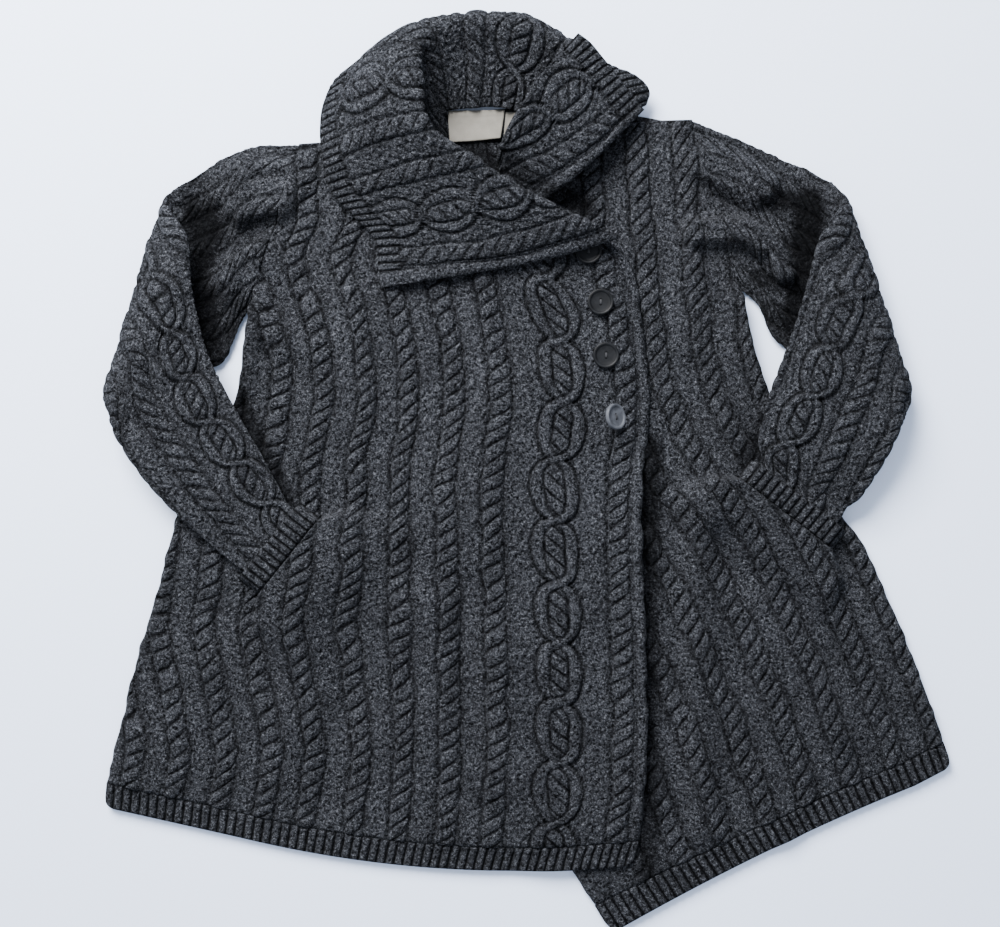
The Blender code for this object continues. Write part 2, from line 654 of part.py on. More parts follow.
# A label: its corners, foot and head, left and right, and how high its free foot stands.
Label = namedtuple("Label", "name foot_left foot_right head_right head_left raised")
LABELS = (
    Label("neck_label", (-73, 304), (-26, 308), (-22, 331), (-75, 330), 2.5),
    Label("size_label", (-23, 311), (-20, 311), (-9, 330), (-21, 330), 1.0),
)
LABEL_CLOTH = 0.8


def label(shape):
    """A blank woven tab on the inside of the back, with its foot curled up."""
    grid = []
    for share in (0.0, 0.2, 0.5, 1.0):
        left = np.array(shape.foot_left, float) * (1 - share) + np.array(shape.head_left, float) * share
        right = np.array(shape.foot_right, float) * (1 - share) + np.array(shape.head_right, float) * share
        height = BACK_TOP + SEAM + shape.raised * float(1 - ease(0.0, 0.6, share))
        line = []
        for across in (0.0, 0.25, 0.5, 0.75, 1.0):
            x, y = left + (right - left) * across
            line.append(((x, y, height),) * 2)
        grid.append(line)
    return wall(shape.name, grid, LABEL_CLOTH, WOVEN, 0.7)


# ---------------------------------------------------------------- the coat


def main():
    for obj in list(bpy.data.objects):
        bpy.data.objects.remove(obj)
    panel("back_panel", BACK_ROWS, back_low)
    hem("hem_back", BACK_ROWS, BACK_BAND, back_low)
    panel("front_left", LEFT_ROWS, left_low)
    hem("hem_front_left", LEFT_ROWS, LEFT_BAND, left_low)
    panel("front_right", RIGHT_ROWS, right_low)
    hem("hem_front_right", RIGHT_ROWS, RIGHT_BAND, right_low)
    sleeve("sleeve_right", RIGHT_SLEEVE, 1)
    sleeve("sleeve_left", LEFT_SLEEVE, 1)
    collar("collar_right", COLLAR_RIGHT, COLLAR_STEPS)
    collar("collar_left", COLLAR_LEFT, COLLAR_STEPS)
    for shape in WELTS:
        welt(shape)
    for shape in BUTTONS:
        button(shape)
    for shape in LABELS:
        label(shape)


main()
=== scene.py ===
"""A cable knit sweater coat that lies on its back, buttoned, with its sleeve ends in its pockets.

Lengths in the tables are millimetres on the surface the coat lies on: +X to the wearer's left,
+Y to the neck and +Z up. ORIGIN is the middle of the coat's box in the tables' own coordinates.
Every knitted piece is a closed shell whose right side carries the cables in its mesh.
"""

import logging
from dataclasses import dataclass
from enum import Enum
from functools import cache
from math import cos, hypot, pi, radians, sin
from typing import Any, Callable, Optional, Sequence, Union

import bmesh
import bpy
import numpy as np
from mathutils import Matrix, Vector
from numpy.typing import NDArray

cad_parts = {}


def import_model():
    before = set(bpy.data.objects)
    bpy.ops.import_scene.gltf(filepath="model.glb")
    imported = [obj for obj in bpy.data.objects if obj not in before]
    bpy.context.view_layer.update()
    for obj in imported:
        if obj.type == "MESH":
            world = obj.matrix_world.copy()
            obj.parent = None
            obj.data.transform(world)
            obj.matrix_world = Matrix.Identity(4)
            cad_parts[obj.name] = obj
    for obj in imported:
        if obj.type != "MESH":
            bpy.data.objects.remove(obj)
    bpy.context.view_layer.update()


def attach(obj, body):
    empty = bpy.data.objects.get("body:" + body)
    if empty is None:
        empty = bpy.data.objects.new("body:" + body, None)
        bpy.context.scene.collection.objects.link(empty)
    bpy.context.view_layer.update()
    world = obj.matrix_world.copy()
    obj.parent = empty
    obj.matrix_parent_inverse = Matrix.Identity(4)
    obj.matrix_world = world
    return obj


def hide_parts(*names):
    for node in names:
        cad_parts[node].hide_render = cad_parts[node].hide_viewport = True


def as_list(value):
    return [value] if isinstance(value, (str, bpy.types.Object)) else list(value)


LOG = logging.getLogger("coat")
MM = 0.001
ORIGIN = (-0.25, -3.6)
CLOTH = 4.0  # wall of the cable knit
SEAM = 0.4  # gap between two pieces that are sewn or lie together
BACK_TOP = CLOTH
FRONT_LOW = BACK_TOP + SEAM
OVERLAP_LOW = FRONT_LOW + CLOTH + SEAM
FINE_PER_COARSE = 4  # cells of a piece's right side to one cell of its wrong side
GROUND_STITCH = 2.9  # a purl stitch of the ground, across and along
STRAND_WALE, STRAND_COURSE = 2.3, 4.0  # a stitch of a cable's strand, across and along it
FAR = 99.0  # a distance from a rope where no rope is near
CLEAR = 0.2  # how far a piece's wrong side stays above what carries it
THIN = 0.6  # the least thickness of the cloth at an edge
BAND_CELLS = 16  # mesh cells up a ribbed band
NORMAL_CELLS = 40  # cells across a sleeve where its normals are measured
SIDE_SEWN = (140.0, 152.0)  # heights between which a side seam passes to the sleeve's seam

Array = NDArray[np.float64]
Piece = bpy.types.Object
Colour = tuple[float, float, float]
Point = tuple[float, float]
Point3 = tuple[float, float, float]


# ---------------- curves and cloth maths


def ease(low: float, high: float, value: Any) -> Any:
    """0 below low, 1 above high and a smooth slope between."""
    share = np.clip((value - low) / (high - low), 0.0, 1.0)
    return share * share * (3.0 - 2.0 * share)


def bell(distance: Any, width: float) -> Any:
    """1 at zero, falling off to 0 on both sides."""
    return np.exp(-((distance / width) ** 2))


def bowed(share: Array) -> Array:
    """0 at both ends of a line and 1 at its middle."""
    return 4 * share * (1 - share)


def shares(cells: int) -> Array:
    """The shares of a line at which this many even cells begin and end."""
    return np.linspace(0, 1, cells + 1)


def through(stops: Array, values: Any, places: Array) -> Array:
    """Reads a smooth curve.

    Args:
        stops: where along the curve each value stands, rising.
        values: one number or point for each stop.
        places: where to read the curve.

    Returns:
        One number or point for each place.
    """
    values = np.asarray(values, float)
    steps = np.diff(stops)
    shape = (-1,) + (1,) * (values.ndim - 1)
    slopes = np.diff(values, axis=0) / steps.reshape(shape)
    turns = np.empty_like(values)
    turns[0], turns[-1] = slopes[0], slopes[-1]
    before, after = steps[:-1].reshape(shape), steps[1:].reshape(shape)
    turns[1:-1] = (before * slopes[1:] + after * slopes[:-1]) / (before + after)
    first = np.clip(np.searchsorted(stops, places, side="right") - 1, 0, len(stops) - 2)
    run = steps[first].reshape(shape)
    t = ((places - stops[first]) / steps[first]).reshape(shape)
    return (
        (2 * t**3 - 3 * t**2 + 1) * values[first]
        + (t**3 - 2 * t**2 + t) * run * turns[first]
        + (3 * t**2 - 2 * t**3) * values[first + 1]
        + (t**3 - t**2) * run * turns[first + 1]
    )


def chord_stops(lines: Sequence[Array]) -> Array:
    """Where the points of some lines stand, by the mean distance from each to the next."""
    steps = np.mean([np.linalg.norm(np.diff(line, axis=0), axis=1) for line in lines], axis=0)
    return np.concatenate(([0.0], np.cumsum(steps)))


def run_length(points: Array, axis: int) -> Array:
    """Distance walked along one axis of a grid of points, from its first line."""
    steps = np.linalg.norm(np.diff(points, axis=axis), axis=-1)
    walked = np.cumsum(steps, axis=axis)
    start = np.zeros_like(np.take(walked, [0], axis=axis))
    return np.concatenate((start, walked), axis=axis)


def unit(vectors: Array) -> Array:
    """Vectors brought to length 1."""
    return vectors / np.maximum(np.linalg.norm(vectors, axis=-1, keepdims=True), 1e-9)


def grid_normals(points: Array) -> Array:
    """Unit normals of a grid of points."""
    return unit(np.cross(np.gradient(points, axis=0), np.gradient(points, axis=1)))


def rounded(distance: Array, radius: float) -> Array:
    """0 at an edge, rising like a quarter circle to 1 at the radius."""
    return np.sqrt(1.0 - (1.0 - np.clip(distance / radius, 0.0, 1.0)) ** 2)


def beside_segment(start: Point, end: Point, x: Array, y: Array) -> tuple[float, Array, Array]:
    """A segment's length, and each point's place along it and distance to its right."""
    (x0, y0), (x1, y1) = start, end
    length = hypot(x1 - x0, y1 - y0)
    ux, uy = (x1 - x0) / length, (y1 - y0) / length
    return length, (x - x0) * ux + (y - y0) * uy, (x - x0) * uy - (y - y0) * ux


@dataclass(frozen=True)
class Reach:
    """How far each point of a piece is, over its cloth, from the piece's four edges."""

    side: Array
    edge: Array
    foot: Array
    top: Array

    @classmethod
    def over(cls, points: Array) -> "Reach":
        """Measures a grid whose rows run from the side to the edge and follow each other up."""
        across, up = run_length(points, 1), run_length(points, 0)
        return cls(across, across[:, -1:] - across, up, up[-1:] - up)


@dataclass(frozen=True)
class Fold:
    """A soft ridge along a segment, or a trough where its height is negative."""

    start: Point
    end: Point
    width: float
    height: float
    level: float = 0.0  # how far from the segment it keeps its whole height

    def at(self, x: Array, y: Array) -> Array:
        """Height that the fold adds at each point."""
        length, run, right = beside_segment(self.start, self.end, x, y)
        away = np.hypot(run - np.clip(run, 0.0, length), right)
        return self.height * (1.0 - ease(self.level, self.width, away))


def folds_at(folds: Sequence[Fold], x: Array, y: Array) -> Array:
    """Height that all the folds add at each point."""
    return sum((fold.at(x, y) for fold in folds), np.zeros_like(x))


def highest(folds: Sequence[Union[Fold, "Tuck"]], x: Array, y: Array) -> Array:
    """Height of the highest of some folds at each point."""
    return np.maximum.reduce([np.zeros_like(x), *(fold.at(x, y) for fold in folds)])


@dataclass(frozen=True)
class Tuck:
    """A line where cloth pushed up on its right side hangs over its left."""

    start: Point
    end: Point
    height: float
    reach: float
    steep: float = 3.0
    bend: float = 4.0  # how far the line bows from straight

    def at(self, x: Array, y: Array) -> Array:
        """Height that the tuck adds at each point."""
        length, run, right = beside_segment(self.start, self.end, x, y)
        past = right - self.bend * np.sin(np.clip(run / length, 0.0, 1.0) * pi)
        ends = ease(-8.0, 10.0, run) * (1.0 - ease(length - 30.0, length + 6.0, run))
        return self.height * ends * ease(-self.steep, 0.0, past) * (1.0 - ease(4.0, self.reach, past))


@dataclass(frozen=True)
class Unevenness:
    """The small wander of hand-steered knitting: the same smooth waves on every run."""

    seed: int
    size: float
    reach: float
    waves: int = 9

    def at(self, x: Array, y: Array) -> Array:
        """How far the waves carry each point."""
        draw = np.random.default_rng(self.seed)
        total = np.zeros_like(x)
        for _ in range(self.waves):
            turn, phase = draw.uniform(0, 2 * pi, 2)
            pace = 2 * pi / (self.reach * draw.uniform(0.6, 1.7))
            total += np.sin(pace * (x * cos(turn) + y * sin(turn)) + phase)
        return self.size * total / np.sqrt(self.waves / 2)


# ---------------- the knitting


@dataclass
class Relief:
    """What the knitting does at each point.

    rope is the distance from the nearest rope's middle, its turns so far and how much of it
    shows; chain is the same for a wide cable, with the distance signed. ribs is how many ribs
    lie before each point, how much of them shows, and how much painted shade the point gets
    where it lies deep in a fold. furrow is how deep a furrow lies there, which the wool's
    material also draws as painted shade.
    """

    height: Array
    furrow: Array
    wale: Array
    course: Array
    rope: Array
    chain: Array
    ribs: Array

    @classmethod
    def plain(cls, height: Array, wale: Array, course: Array) -> "Relief":
        """Knitting without cables."""
        none = np.zeros((*height.shape, 3))
        return cls(height, np.zeros_like(height), wale, course, none, none.copy(), none.copy())

    def lay(self, where: Array, height: Array, furrow: Array, wale: Array, course: Array) -> None:
        """Puts other knitting where the mask says."""
        self.height = np.where(where, height, self.height)
        self.furrow = np.where(where, furrow, self.furrow)
        self.wale = np.where(where, wale, self.wale)
        self.course = np.where(where, course, self.course)

    def hide_cables(self, share: Array) -> None:
        """Leaves no mark of a cable where the share is 1."""
        for marks in (self.rope, self.chain):
            marks[..., 2] *= 1.0 - share

    def fields(self) -> dict[str, Array]:
        """The attributes that the wool's material reads."""
        return {
            "stitch": np.stack([self.wale, self.course, self.furrow], -1),
            "rope": self.rope,
            "chain": self.chain,
            "ribs": self.ribs,
        }


@dataclass(frozen=True)
class Rope:
    """A two-strand twist of stocking stitch between two purl furrows."""

    half: float = 9.4
    spacing: float = 14.3  # from one crossing to the next
    lean: float = 0.74  # how steeply a strand climbs for its way across
    crest: float = 3.7
    scallop: float = 1.6  # how far a rope narrows at each crossing
    flare: float = 0.25  # how much steeper a strand climbs at the rope's sides
    groove: float = 1.6  # width of the groove between its strands
    purl: float = 1.2  # width of the furrow beside it, and its depth
    lowest: float = 0.30  # share of the crest that is left where the strands cross
    scale: float = 1.0

    def furrow_profile(self, away: Array) -> Array:
        """Depth, from 0 to 1, of the furrow beside the rope."""
        return bell(np.abs(away) - self.half - 0.9, self.purl)

    def turns(self, away: Array, along: Array, hand: float) -> Array:
        """How many crossings of the strands lie before each point."""
        share = np.clip(np.abs(away) / self.half, 0.0, 1.0)
        return (along + hand * self.lean * away * (1.0 + self.flare * share**2)) / self.spacing

    def lay_on(self, made: Relief, away: Array, along: Array, hand: float = 1.0) -> None:
        """Knits the rope into a field.

        Args:
            made: the field.
            away: distance across from the rope's middle.
            along: distance along the rope.
            hand: 1 where a strand climbs towards the front edge, -1 for the other hand.
        """
        away, along = away / self.scale, along / self.scale
        turns = self.turns(away, along, hand)
        part = turns - np.floor(turns)
        near = np.minimum(part, 1.0 - part) * self.spacing * 0.83
        leaf = np.sqrt(np.maximum(1.0 - (2.0 * part - 1.0) ** 2, 0.0))
        pinched = np.abs(away) + self.scallop * (1.0 - leaf)
        share = np.clip(pinched / self.half, 0.0, 1.0)
        body = self.crest * np.sqrt(1.0 - share**2.4)
        cut = bell(near, self.groove) * (1 - share**4)
        beside = self.furrow_profile(pinched)
        height = body * (self.lowest + (1.0 - self.lowest) * leaf) - 0.5 * cut - self.purl * beside
        furrow = 0.4 * np.maximum(beside, cut)
        slant = np.hypot(1.0, self.lean)
        across = (self.lean * hand * away + along) / slant
        forward = (self.lean * along - hand * away) / slant
        inside = np.abs(away) < self.half + 3.4
        made.lay(inside, height, furrow, across / STRAND_WALE, forward / STRAND_COURSE)
        nearer = np.abs(away) < made.rope[..., 0]
        marks = np.stack((np.abs(away), turns, np.ones_like(away)), -1)
        made.rope = np.where(nearer[..., None], marks, made.rope)


@dataclass(frozen=True)
class Chain:
    """The wide cable: two strands that swap sides round a row of twisted ovals."""

    repeat: float = 55.5  # from one crossing of the strands to the next
    swing: float = 15.9
    strand: float = 6.2
    pinch: float = 0.40  # how much narrower the strands are where they cross
    rise: float = 3.7
    over: float = 0.3  # how much higher the strand above lies where two cross
    rim: float = 2.6  # width of the furrow beside a strand
    core: Rope = Rope(half=11.0, spacing=14.5, lean=0.66, crest=3.7)
    soft: float = 0.50  # 1 for strands that weave evenly; less for ones that cross and part quickly
    scale: float = 1.0

    def reach(self) -> float:
        """How far the cable's own field reaches from its middle."""
        return self.scale * (self.swing + self.strand + 3.4)

    def lay_on(self, made: Relief, away: Array, along: Array, hand: float = 1.0) -> None:
        """Knits the chain into a field; the arguments are a rope's own."""
        away, along = away / self.scale, along / self.scale
        turn = pi * along / self.repeat
        half = self.strand * (1.0 - self.pinch * np.cos(turn) ** 2)
        spread = 1.0 - (1.0 - self.soft**2) * np.cos(turn) ** 2
        swing = self.swing * np.sin(turn) / np.sqrt(spread)
        pace = self.swing * pi / self.repeat * self.soft**2 * np.cos(turn) / spread**1.5
        open_share = np.abs(swing) / self.swing
        inner = Relief.plain(np.zeros_like(away), away, along)
        self.core.lay_on(inner, away, along, -hand)
        window = ease(0.20, 0.50, open_share)
        height = (inner.height + self.core.purl) * window - self.core.purl
        furrow = np.maximum(inner.furrow * window, 0.75 * (1 - window))
        wale, course = inner.wale, inner.course
        lift = self.over * np.cos(turn)
        for upper in (-1.0, 1.0):  # the strand beneath is knitted first, the one above over it
            for side in (-1.0, 1.0):
                shape = (away + side * hand * swing) / np.hypot(1.0, pace)
                high = side * lift
                here = np.sign(high) == upper
                share = np.clip(np.abs(shape) / half, 0.0, 1.0)
                body = self.rise * np.sqrt(1.0 - share**2.6) + high - 0.4
                edge = bell(np.abs(shape) - half - 0.7, 1.2)
                inside = here & (np.abs(shape) < half)
                rim = here & ~inside & (np.abs(shape) < half + self.rim)
                height = np.where(inside, body, height - 1.3 * edge * rim)
                furrow = np.where(inside, 0.3 * share**6, np.maximum(furrow, 0.5 * edge * rim))
                wale = np.where(inside, shape / STRAND_WALE, wale)
                course = np.where(inside, along / STRAND_COURSE, course)
        outline = np.abs(away) < np.abs(swing) + half * np.hypot(1.0, pace) + 2.4
        made.lay(outline, height, furrow, wale, course)
        reach = self.reach() / self.scale
        shown = 1.0 - ease(reach + 1.0, reach + 6.0, np.abs(away))
        marks = np.stack((hand * away, along / self.repeat, shown), -1)
        made.chain = np.where((shown > 0)[..., None], marks, made.chain)
        made.rope[..., 2] *= 1.0 - (np.abs(away) < reach)


@dataclass(frozen=True)
class Layout:
    """Where the cables of a piece stand, in millimetres across from its front edge."""

    ropes: tuple[float, ...]
    chains: tuple[float, ...] = ()
    plain: float = 10.0  # width of the rolled stocking stitch at the front edge
    rope: Rope = Rope()
    chain: Chain = Chain()
    moss: Unevenness = Unevenness(seed=3, size=0.62, reach=5.4, waves=26)

    def field(
        self,
        across: Array,
        along: Array,
        chain_start: float = 0.0,
        hand: float = 1.0,
        from_edge: Optional[Array] = None,
    ) -> Relief:
        """Knits a piece.

        Args:
            across: distance from the line that the cables run beside.
            along: distance up from its hem.
            chain_start: where along the piece the chains' strands cross.
            hand: which way the ropes twist.
            from_edge: distance from the rolled front edge, where that isn't the same.

        Returns:
            The piece's relief.
        """
        ground = 0.5 + self.moss.at(across, along)
        made = Relief.plain(ground, across / GROUND_STITCH, along / GROUND_STITCH)
        made.rope[..., 0] = FAR
        for middle in self.ropes:
            self.rope.lay_on(made, across - middle, along + 3.7 * middle, hand)
        for middle in self.chains:
            self.chain.lay_on(made, across - middle, along - chain_start, hand)
        if self.plain > 0:
            edge = across if from_edge is None else from_edge
            seam = bell(edge - self.plain, 1.4)
            roll = 1.5 * np.sin(np.clip(edge / self.plain, 0, 1) * pi) ** 0.6 - 1.2 * seam
            rolled = edge < self.plain + 2.5
            made.lay(rolled, roll, 0.6 * seam, edge / 2.6, along / 3.6)
            made.hide_cables(rolled.astype(float))
        return made


@dataclass(frozen=True)
class Ribbing:
    """Rounded ribs with narrow furrows, square to the edge of a band."""

    pitch: float = 8.2
    cells: int = 6  # mesh cells across one rib
    rise: float = 2.3

    def count(self, length: float) -> int:
        """Mesh cells along a band of this length, in whole ribs and whole coarse cells."""
        return max(int(round(length / self.pitch / 2)) * 2, 2) * self.cells

    def field(self, place: Array, across: Array) -> Relief:
        """Knits a band.

        Args:
            place: how many ribs along the band each point stands.
            across: distance from the band's outer edge.

        Returns:
            The band's relief.
        """
        round_rib = np.abs(np.sin(pi * place))
        made = Relief.plain(self.rise * round_rib**0.55 - 0.9, place * self.pitch / 2.6, across / 3.6)
        made.furrow = 0.5 * (1.0 - round_rib) ** 2.2
        made.ribs = np.stack((place, np.ones_like(place), np.zeros_like(place)), -1)
        return made


# ---------------- shells


def linked(name: str, data: Any) -> Piece:
    """An object with this data, in the scene."""
    made = bpy.data.objects.new(name, data)
    bpy.context.scene.collection.objects.link(made)
    return made


def coarse(grid: Array) -> Array:
    """The points of a fine grid that the wrong side also has."""
    return grid[::FINE_PER_COARSE, ::FINE_PER_COARSE]


@dataclass
class Slit:
    """A cut along one column of a panel: its column, first and last row, and its inner lip."""

    column: int
    first: int
    last: int
    lip: Array
    lip_under: Array


@dataclass
class Shell:
    """A closed piece of cloth: a fine right side, a coarse wrong side and a rim between them."""

    name: str
    top: Array
    under: Array
    relief: Relief
    slit: Optional[Slit] = None
    tube: bool = False

    def build(self) -> Piece:
        """Makes the piece's object.

        Returns:
            The object, in metres, with its stitches and furrows as attributes.
        """
        k = FINE_PER_COARSE
        points = [self.top.reshape(-1, 3), self.under.reshape(-1, 3)]
        high = np.arange(len(points[0])).reshape(self.top.shape[:2])
        low = high.size + np.arange(len(points[1])).reshape(self.under.shape[:2])
        high_after, low_after, start = high.copy(), low.copy(), high.size + low.size
        if self.slit is not None:
            cut = self.slit
            for table, lip, step in ((high_after, cut.lip, 1), (low_after, cut.lip_under, k)):
                span = slice(cut.first // step + 1, cut.last // step)
                table[span, cut.column // step] = start + np.arange(len(lip))
                start += len(lip)
                points.append(lip)
        if self.tube:
            high, low = (np.concatenate((t, t[:, :1]), axis=1) for t in (high, low))
            high_after, low_after = high, low
        faces = self.sides(high, high_after, low, low_after)
        made = np.concatenate(points)
        placed = (made - np.array((*ORIGIN, 0.0))) * MM
        corners = placed[faces]
        if np.einsum("ij,ij->i", corners[:, 0], np.cross(corners[:, 1], corners[:, 2])).sum() < 0:
            faces = faces[:, ::-1]
        mesh = bpy.data.meshes.new(self.name)
        mesh.vertices.add(len(placed))
        mesh.vertices.foreach_set("co", placed.astype(np.float32).ravel())
        mesh.loops.add(faces.size)
        mesh.loops.foreach_set("vertex_index", faces.astype(np.int32).ravel())
        mesh.polygons.add(len(faces))
        mesh.polygons.foreach_set("loop_start", np.arange(0, faces.size, 3, dtype=np.int32))
        mesh.update(calc_edges=True)
        mesh.polygons.foreach_set("use_smooth", np.ones(len(faces), bool))
        for name, values in self.relief.fields().items():
            held = mesh.attributes.new(name, "FLOAT_VECTOR", "POINT")
            held.data.foreach_set("vector", self.for_points(values).astype(np.float32).ravel())
        mesh.validate()
        return linked(self.name, mesh)

    def for_points(self, values: Array) -> Array:
        """Values of the right side's points, repeated for every other point of the shell."""
        k = FINE_PER_COARSE
        made = [values.reshape(-1, 3), coarse(values).reshape(-1, 3)]
        if self.slit is not None:
            cut, line = self.slit, values[:, self.slit.column]
            made += [line[cut.first + 1 : cut.last], line[cut.first + k : cut.last : k]]
        return np.concatenate(made)

    def sides(self, high: Array, high_after: Array, low: Array, low_after: Array) -> Array:
        """Triangles of both sides and of every rim.

        Args:
            high: vertex numbers of the right side, as seen from before a slit.
            high_after: the same as seen from beyond the slit.
            low: vertex numbers of the wrong side.
            low_after: the same as seen from beyond the slit.

        Returns:
            One row of three vertex numbers for each triangle.
        """
        k, cut = FINE_PER_COARSE, self.slit
        column = cut.column if cut is not None else 0
        made = []
        for before, after, place, turn in ((high, high_after, column, 1), (low, low_after, column // k, -1)):
            for used in (before[:, : place + 1], after[:, place:]):
                a, b, c, d = used[:-1, :-1], used[:-1, 1:], used[1:, 1:], used[1:, :-1]
                for three in ((a, b, c), (a, c, d)):
                    made.append(np.stack([v.ravel() for v in three], -1)[:, ::turn])
        fine, rough = column, column // k
        rims = [
            (high[0, : fine + 1], low[0, : rough + 1]),
            (high_after[0, fine:], low_after[0, rough:]),
            (high_after[-1, fine:][::-1], low_after[-1, rough:][::-1]),
            (high[-1, : fine + 1][::-1], low[-1, : rough + 1][::-1]),
        ]
        if cut is not None:
            span, rough_span = slice(cut.first, cut.last + 1), slice(cut.first // k, cut.last // k + 1)
            rims.append((high[span, fine], low[rough_span, rough]))
            rims.append((high_after[span, fine][::-1], low_after[rough_span, rough][::-1]))
        if not self.tube:
            rims.append((high[::-1, 0], low[::-1, 0]))
            rims.append((high_after[:, -1], low_after[:, -1]))
        return np.concatenate(made + [rim_faces(*lines) for lines in rims])


def rim_faces(fine: Array, rough: Array) -> Array:
    """Triangles between a fine line of vertices and a coarse one that runs beside it."""
    k, half = FINE_PER_COARSE, FINE_PER_COARSE // 2
    made = []
    for place in range(len(rough) - 1):
        line = fine[place * k : place * k + k + 1]
        for step in range(k):
            made.append((line[step + 1], line[step], rough[place if step < half else place + 1]))
        made.append((line[half], rough[place], rough[place + 1]))
    return np.array(made, int).reshape(-1, 3)


def sheet_shell(name: str, x: Array, y: Array, high: Array, low: Any, relief: Relief) -> Piece:
    """A shell whose right side and wrong side lie at these heights over the same points."""
    top, under = (np.stack((x, y, np.broadcast_to(side, x.shape)), -1) for side in (high, low))
    return Shell(name, top, coarse(under), relief).build()


# ---------------- shader maths

Value = Union["Wire", float]


def maths(operation: str, swapped: bool = False) -> Callable[..., "Wire"]:
    """An operator of a wire, made with a Math node; swapped puts the other value first."""

    def operator(wire: "Wire", other: Value = 0.0) -> "Wire":
        pair = (other, wire) if swapped else (wire, other)
        return wire.shader.node("ShaderNodeMath", {"operation": operation}, dict(enumerate(pair)))

    return operator


@dataclass(frozen=True)
class Wire:
    """A socket that gives a value, with the operators that shader maths is written in."""

    shader: "Shader"
    socket: bpy.types.NodeSocket
    __add__ = __radd__ = maths("ADD")
    __sub__ = maths("SUBTRACT")
    __rsub__ = maths("SUBTRACT", swapped=True)
    __mul__ = __rmul__ = maths("MULTIPLY")
    __pow__ = maths("POWER")
    __truediv__ = maths("DIVIDE")
    __abs__ = maths("ABSOLUTE")
    most = maths("MAXIMUM")
    sine = maths("SINE")
    cosine = maths("COSINE")
    nearest_whole = maths("ROUND")

    def to_whole(self) -> "Wire":
        """Distance to the nearest whole number."""
        return abs(self - self.nearest_whole())

    def line(self, half: float) -> "Wire":
        """1 at zero, falling smoothly to 0 this far to each side."""
        return 1.0 - abs(self).between(0.0, half)

    def wave(self) -> "Wire":
        """Cosine, brought between 0 and 1."""
        return self.cosine() * 0.5 + 0.5

    def between(self, low: float, high: float) -> "Wire":
        """0 at low, 1 at high, smooth between and level beyond."""
        sockets = {"Value": self, "From Min": low, "From Max": high}
        return self.shader.node("ShaderNodeMapRange", {"interpolation_type": "SMOOTHSTEP"}, sockets)


class Shader:
    """The nodes of one material."""

    def __init__(self, name: str) -> None:
        """Starts a material with a principled shader."""
        self.material = bpy.data.materials.new(name)
        self.material.use_nodes = True
        self.tree = self.material.node_tree
        self.surface = self.tree.nodes["Principled BSDF"]

    def put(self, socket: bpy.types.NodeSocket, value: Any) -> None:
        """Links a wire to a socket, or sets the socket's own value."""
        if isinstance(value, Wire):
            self.tree.links.new(value.socket, socket)
        elif hasattr(socket.default_value, "__len__") and len(socket.default_value) == 4:
            socket.default_value = (*value, 1.0) if len(value) == 3 else value
        else:
            socket.default_value = value

    def node(self, kind: str, settings: dict[str, Any], sockets: dict[Any, Any], output: Any = 0) -> Wire:
        """Adds a node.

        Args:
            kind: the node's type.
            settings: its own settings, set first.
            sockets: a value or a wire for each named input.
            output: which of its outputs to give.

        Returns:
            That output.
        """
        made = self.tree.nodes.new(kind)
        for name, value in settings.items():
            setattr(made, name, value)
        for name, value in sockets.items():
            self.put(made.inputs[name], value)
        return Wire(self, made.outputs[output])

    def place(self) -> Wire:
        """Position on the object, in metres."""
        return self.node("ShaderNodeTexCoord", {}, {}, "Object")

    def attribute(self, name: str) -> Wire:
        """A vector that the mesh carries."""
        return self.node("ShaderNodeAttribute", {"attribute_name": name}, {}, "Vector")

    def part(self, vector: Wire, axis: str) -> Wire:
        """One number of a vector."""
        return self.node("ShaderNodeSeparateXYZ", {}, {0: vector}, axis)

    def noise(self, where: Wire, scale: float, detail: float = 2.0, roughness: float = 0.5) -> Wire:
        """Soft noise, from 0 to 1."""
        sockets = {"Vector": where, "Scale": scale, "Detail": detail, "Roughness": roughness}
        return self.node("ShaderNodeTexNoise", {}, sockets, "Fac")

    def cells(self, where: Wire, scale: float, randomness: float = 1.0) -> Wire:
        """Distance, in X and Y, to the nearest of many scattered points."""
        sockets = {"Vector": where, "Scale": scale, "Randomness": randomness, "Smoothness": 0.35}
        settings = {"voronoi_dimensions": "2D", "feature": "SMOOTH_F1"}
        return self.node("ShaderNodeTexVoronoi", settings, sockets, "Distance")

    def mix(self, share: Value, first: Any, second: Any) -> Wire:
        """One colour blended into another."""
        sockets = {0: share, 6: first, 7: second}
        return self.node("ShaderNodeMix", {"data_type": "RGBA"}, sockets, 2)

    def bump(
        self, height: Wire, distance: float, strength: float = 1.0, under: Optional[Wire] = None
    ) -> Wire:
        """A normal from a height of 0 to 1, over a coarser one if there is one under it."""
        sockets: dict[str, Any] = {"Strength": strength, "Distance": distance, "Height": height}
        if under is not None:
            sockets["Normal"] = under
        return self.node("ShaderNodeBump", {}, sockets, "Normal")

    def finish(
        self, colour: Any, roughness: Value, normal: Optional[Wire], **constants: Any
    ) -> bpy.types.Material:
        """Joins the shader up and gives its material."""
        self.put(self.surface.inputs["Base Color"], colour)
        self.put(self.surface.inputs["Roughness"], roughness)
        if normal is not None:
            self.put(self.surface.inputs["Normal"], normal)
        for name, value in constants.items():
            self.put(self.surface.inputs[name.replace("_", " ")], value)
        return self.material


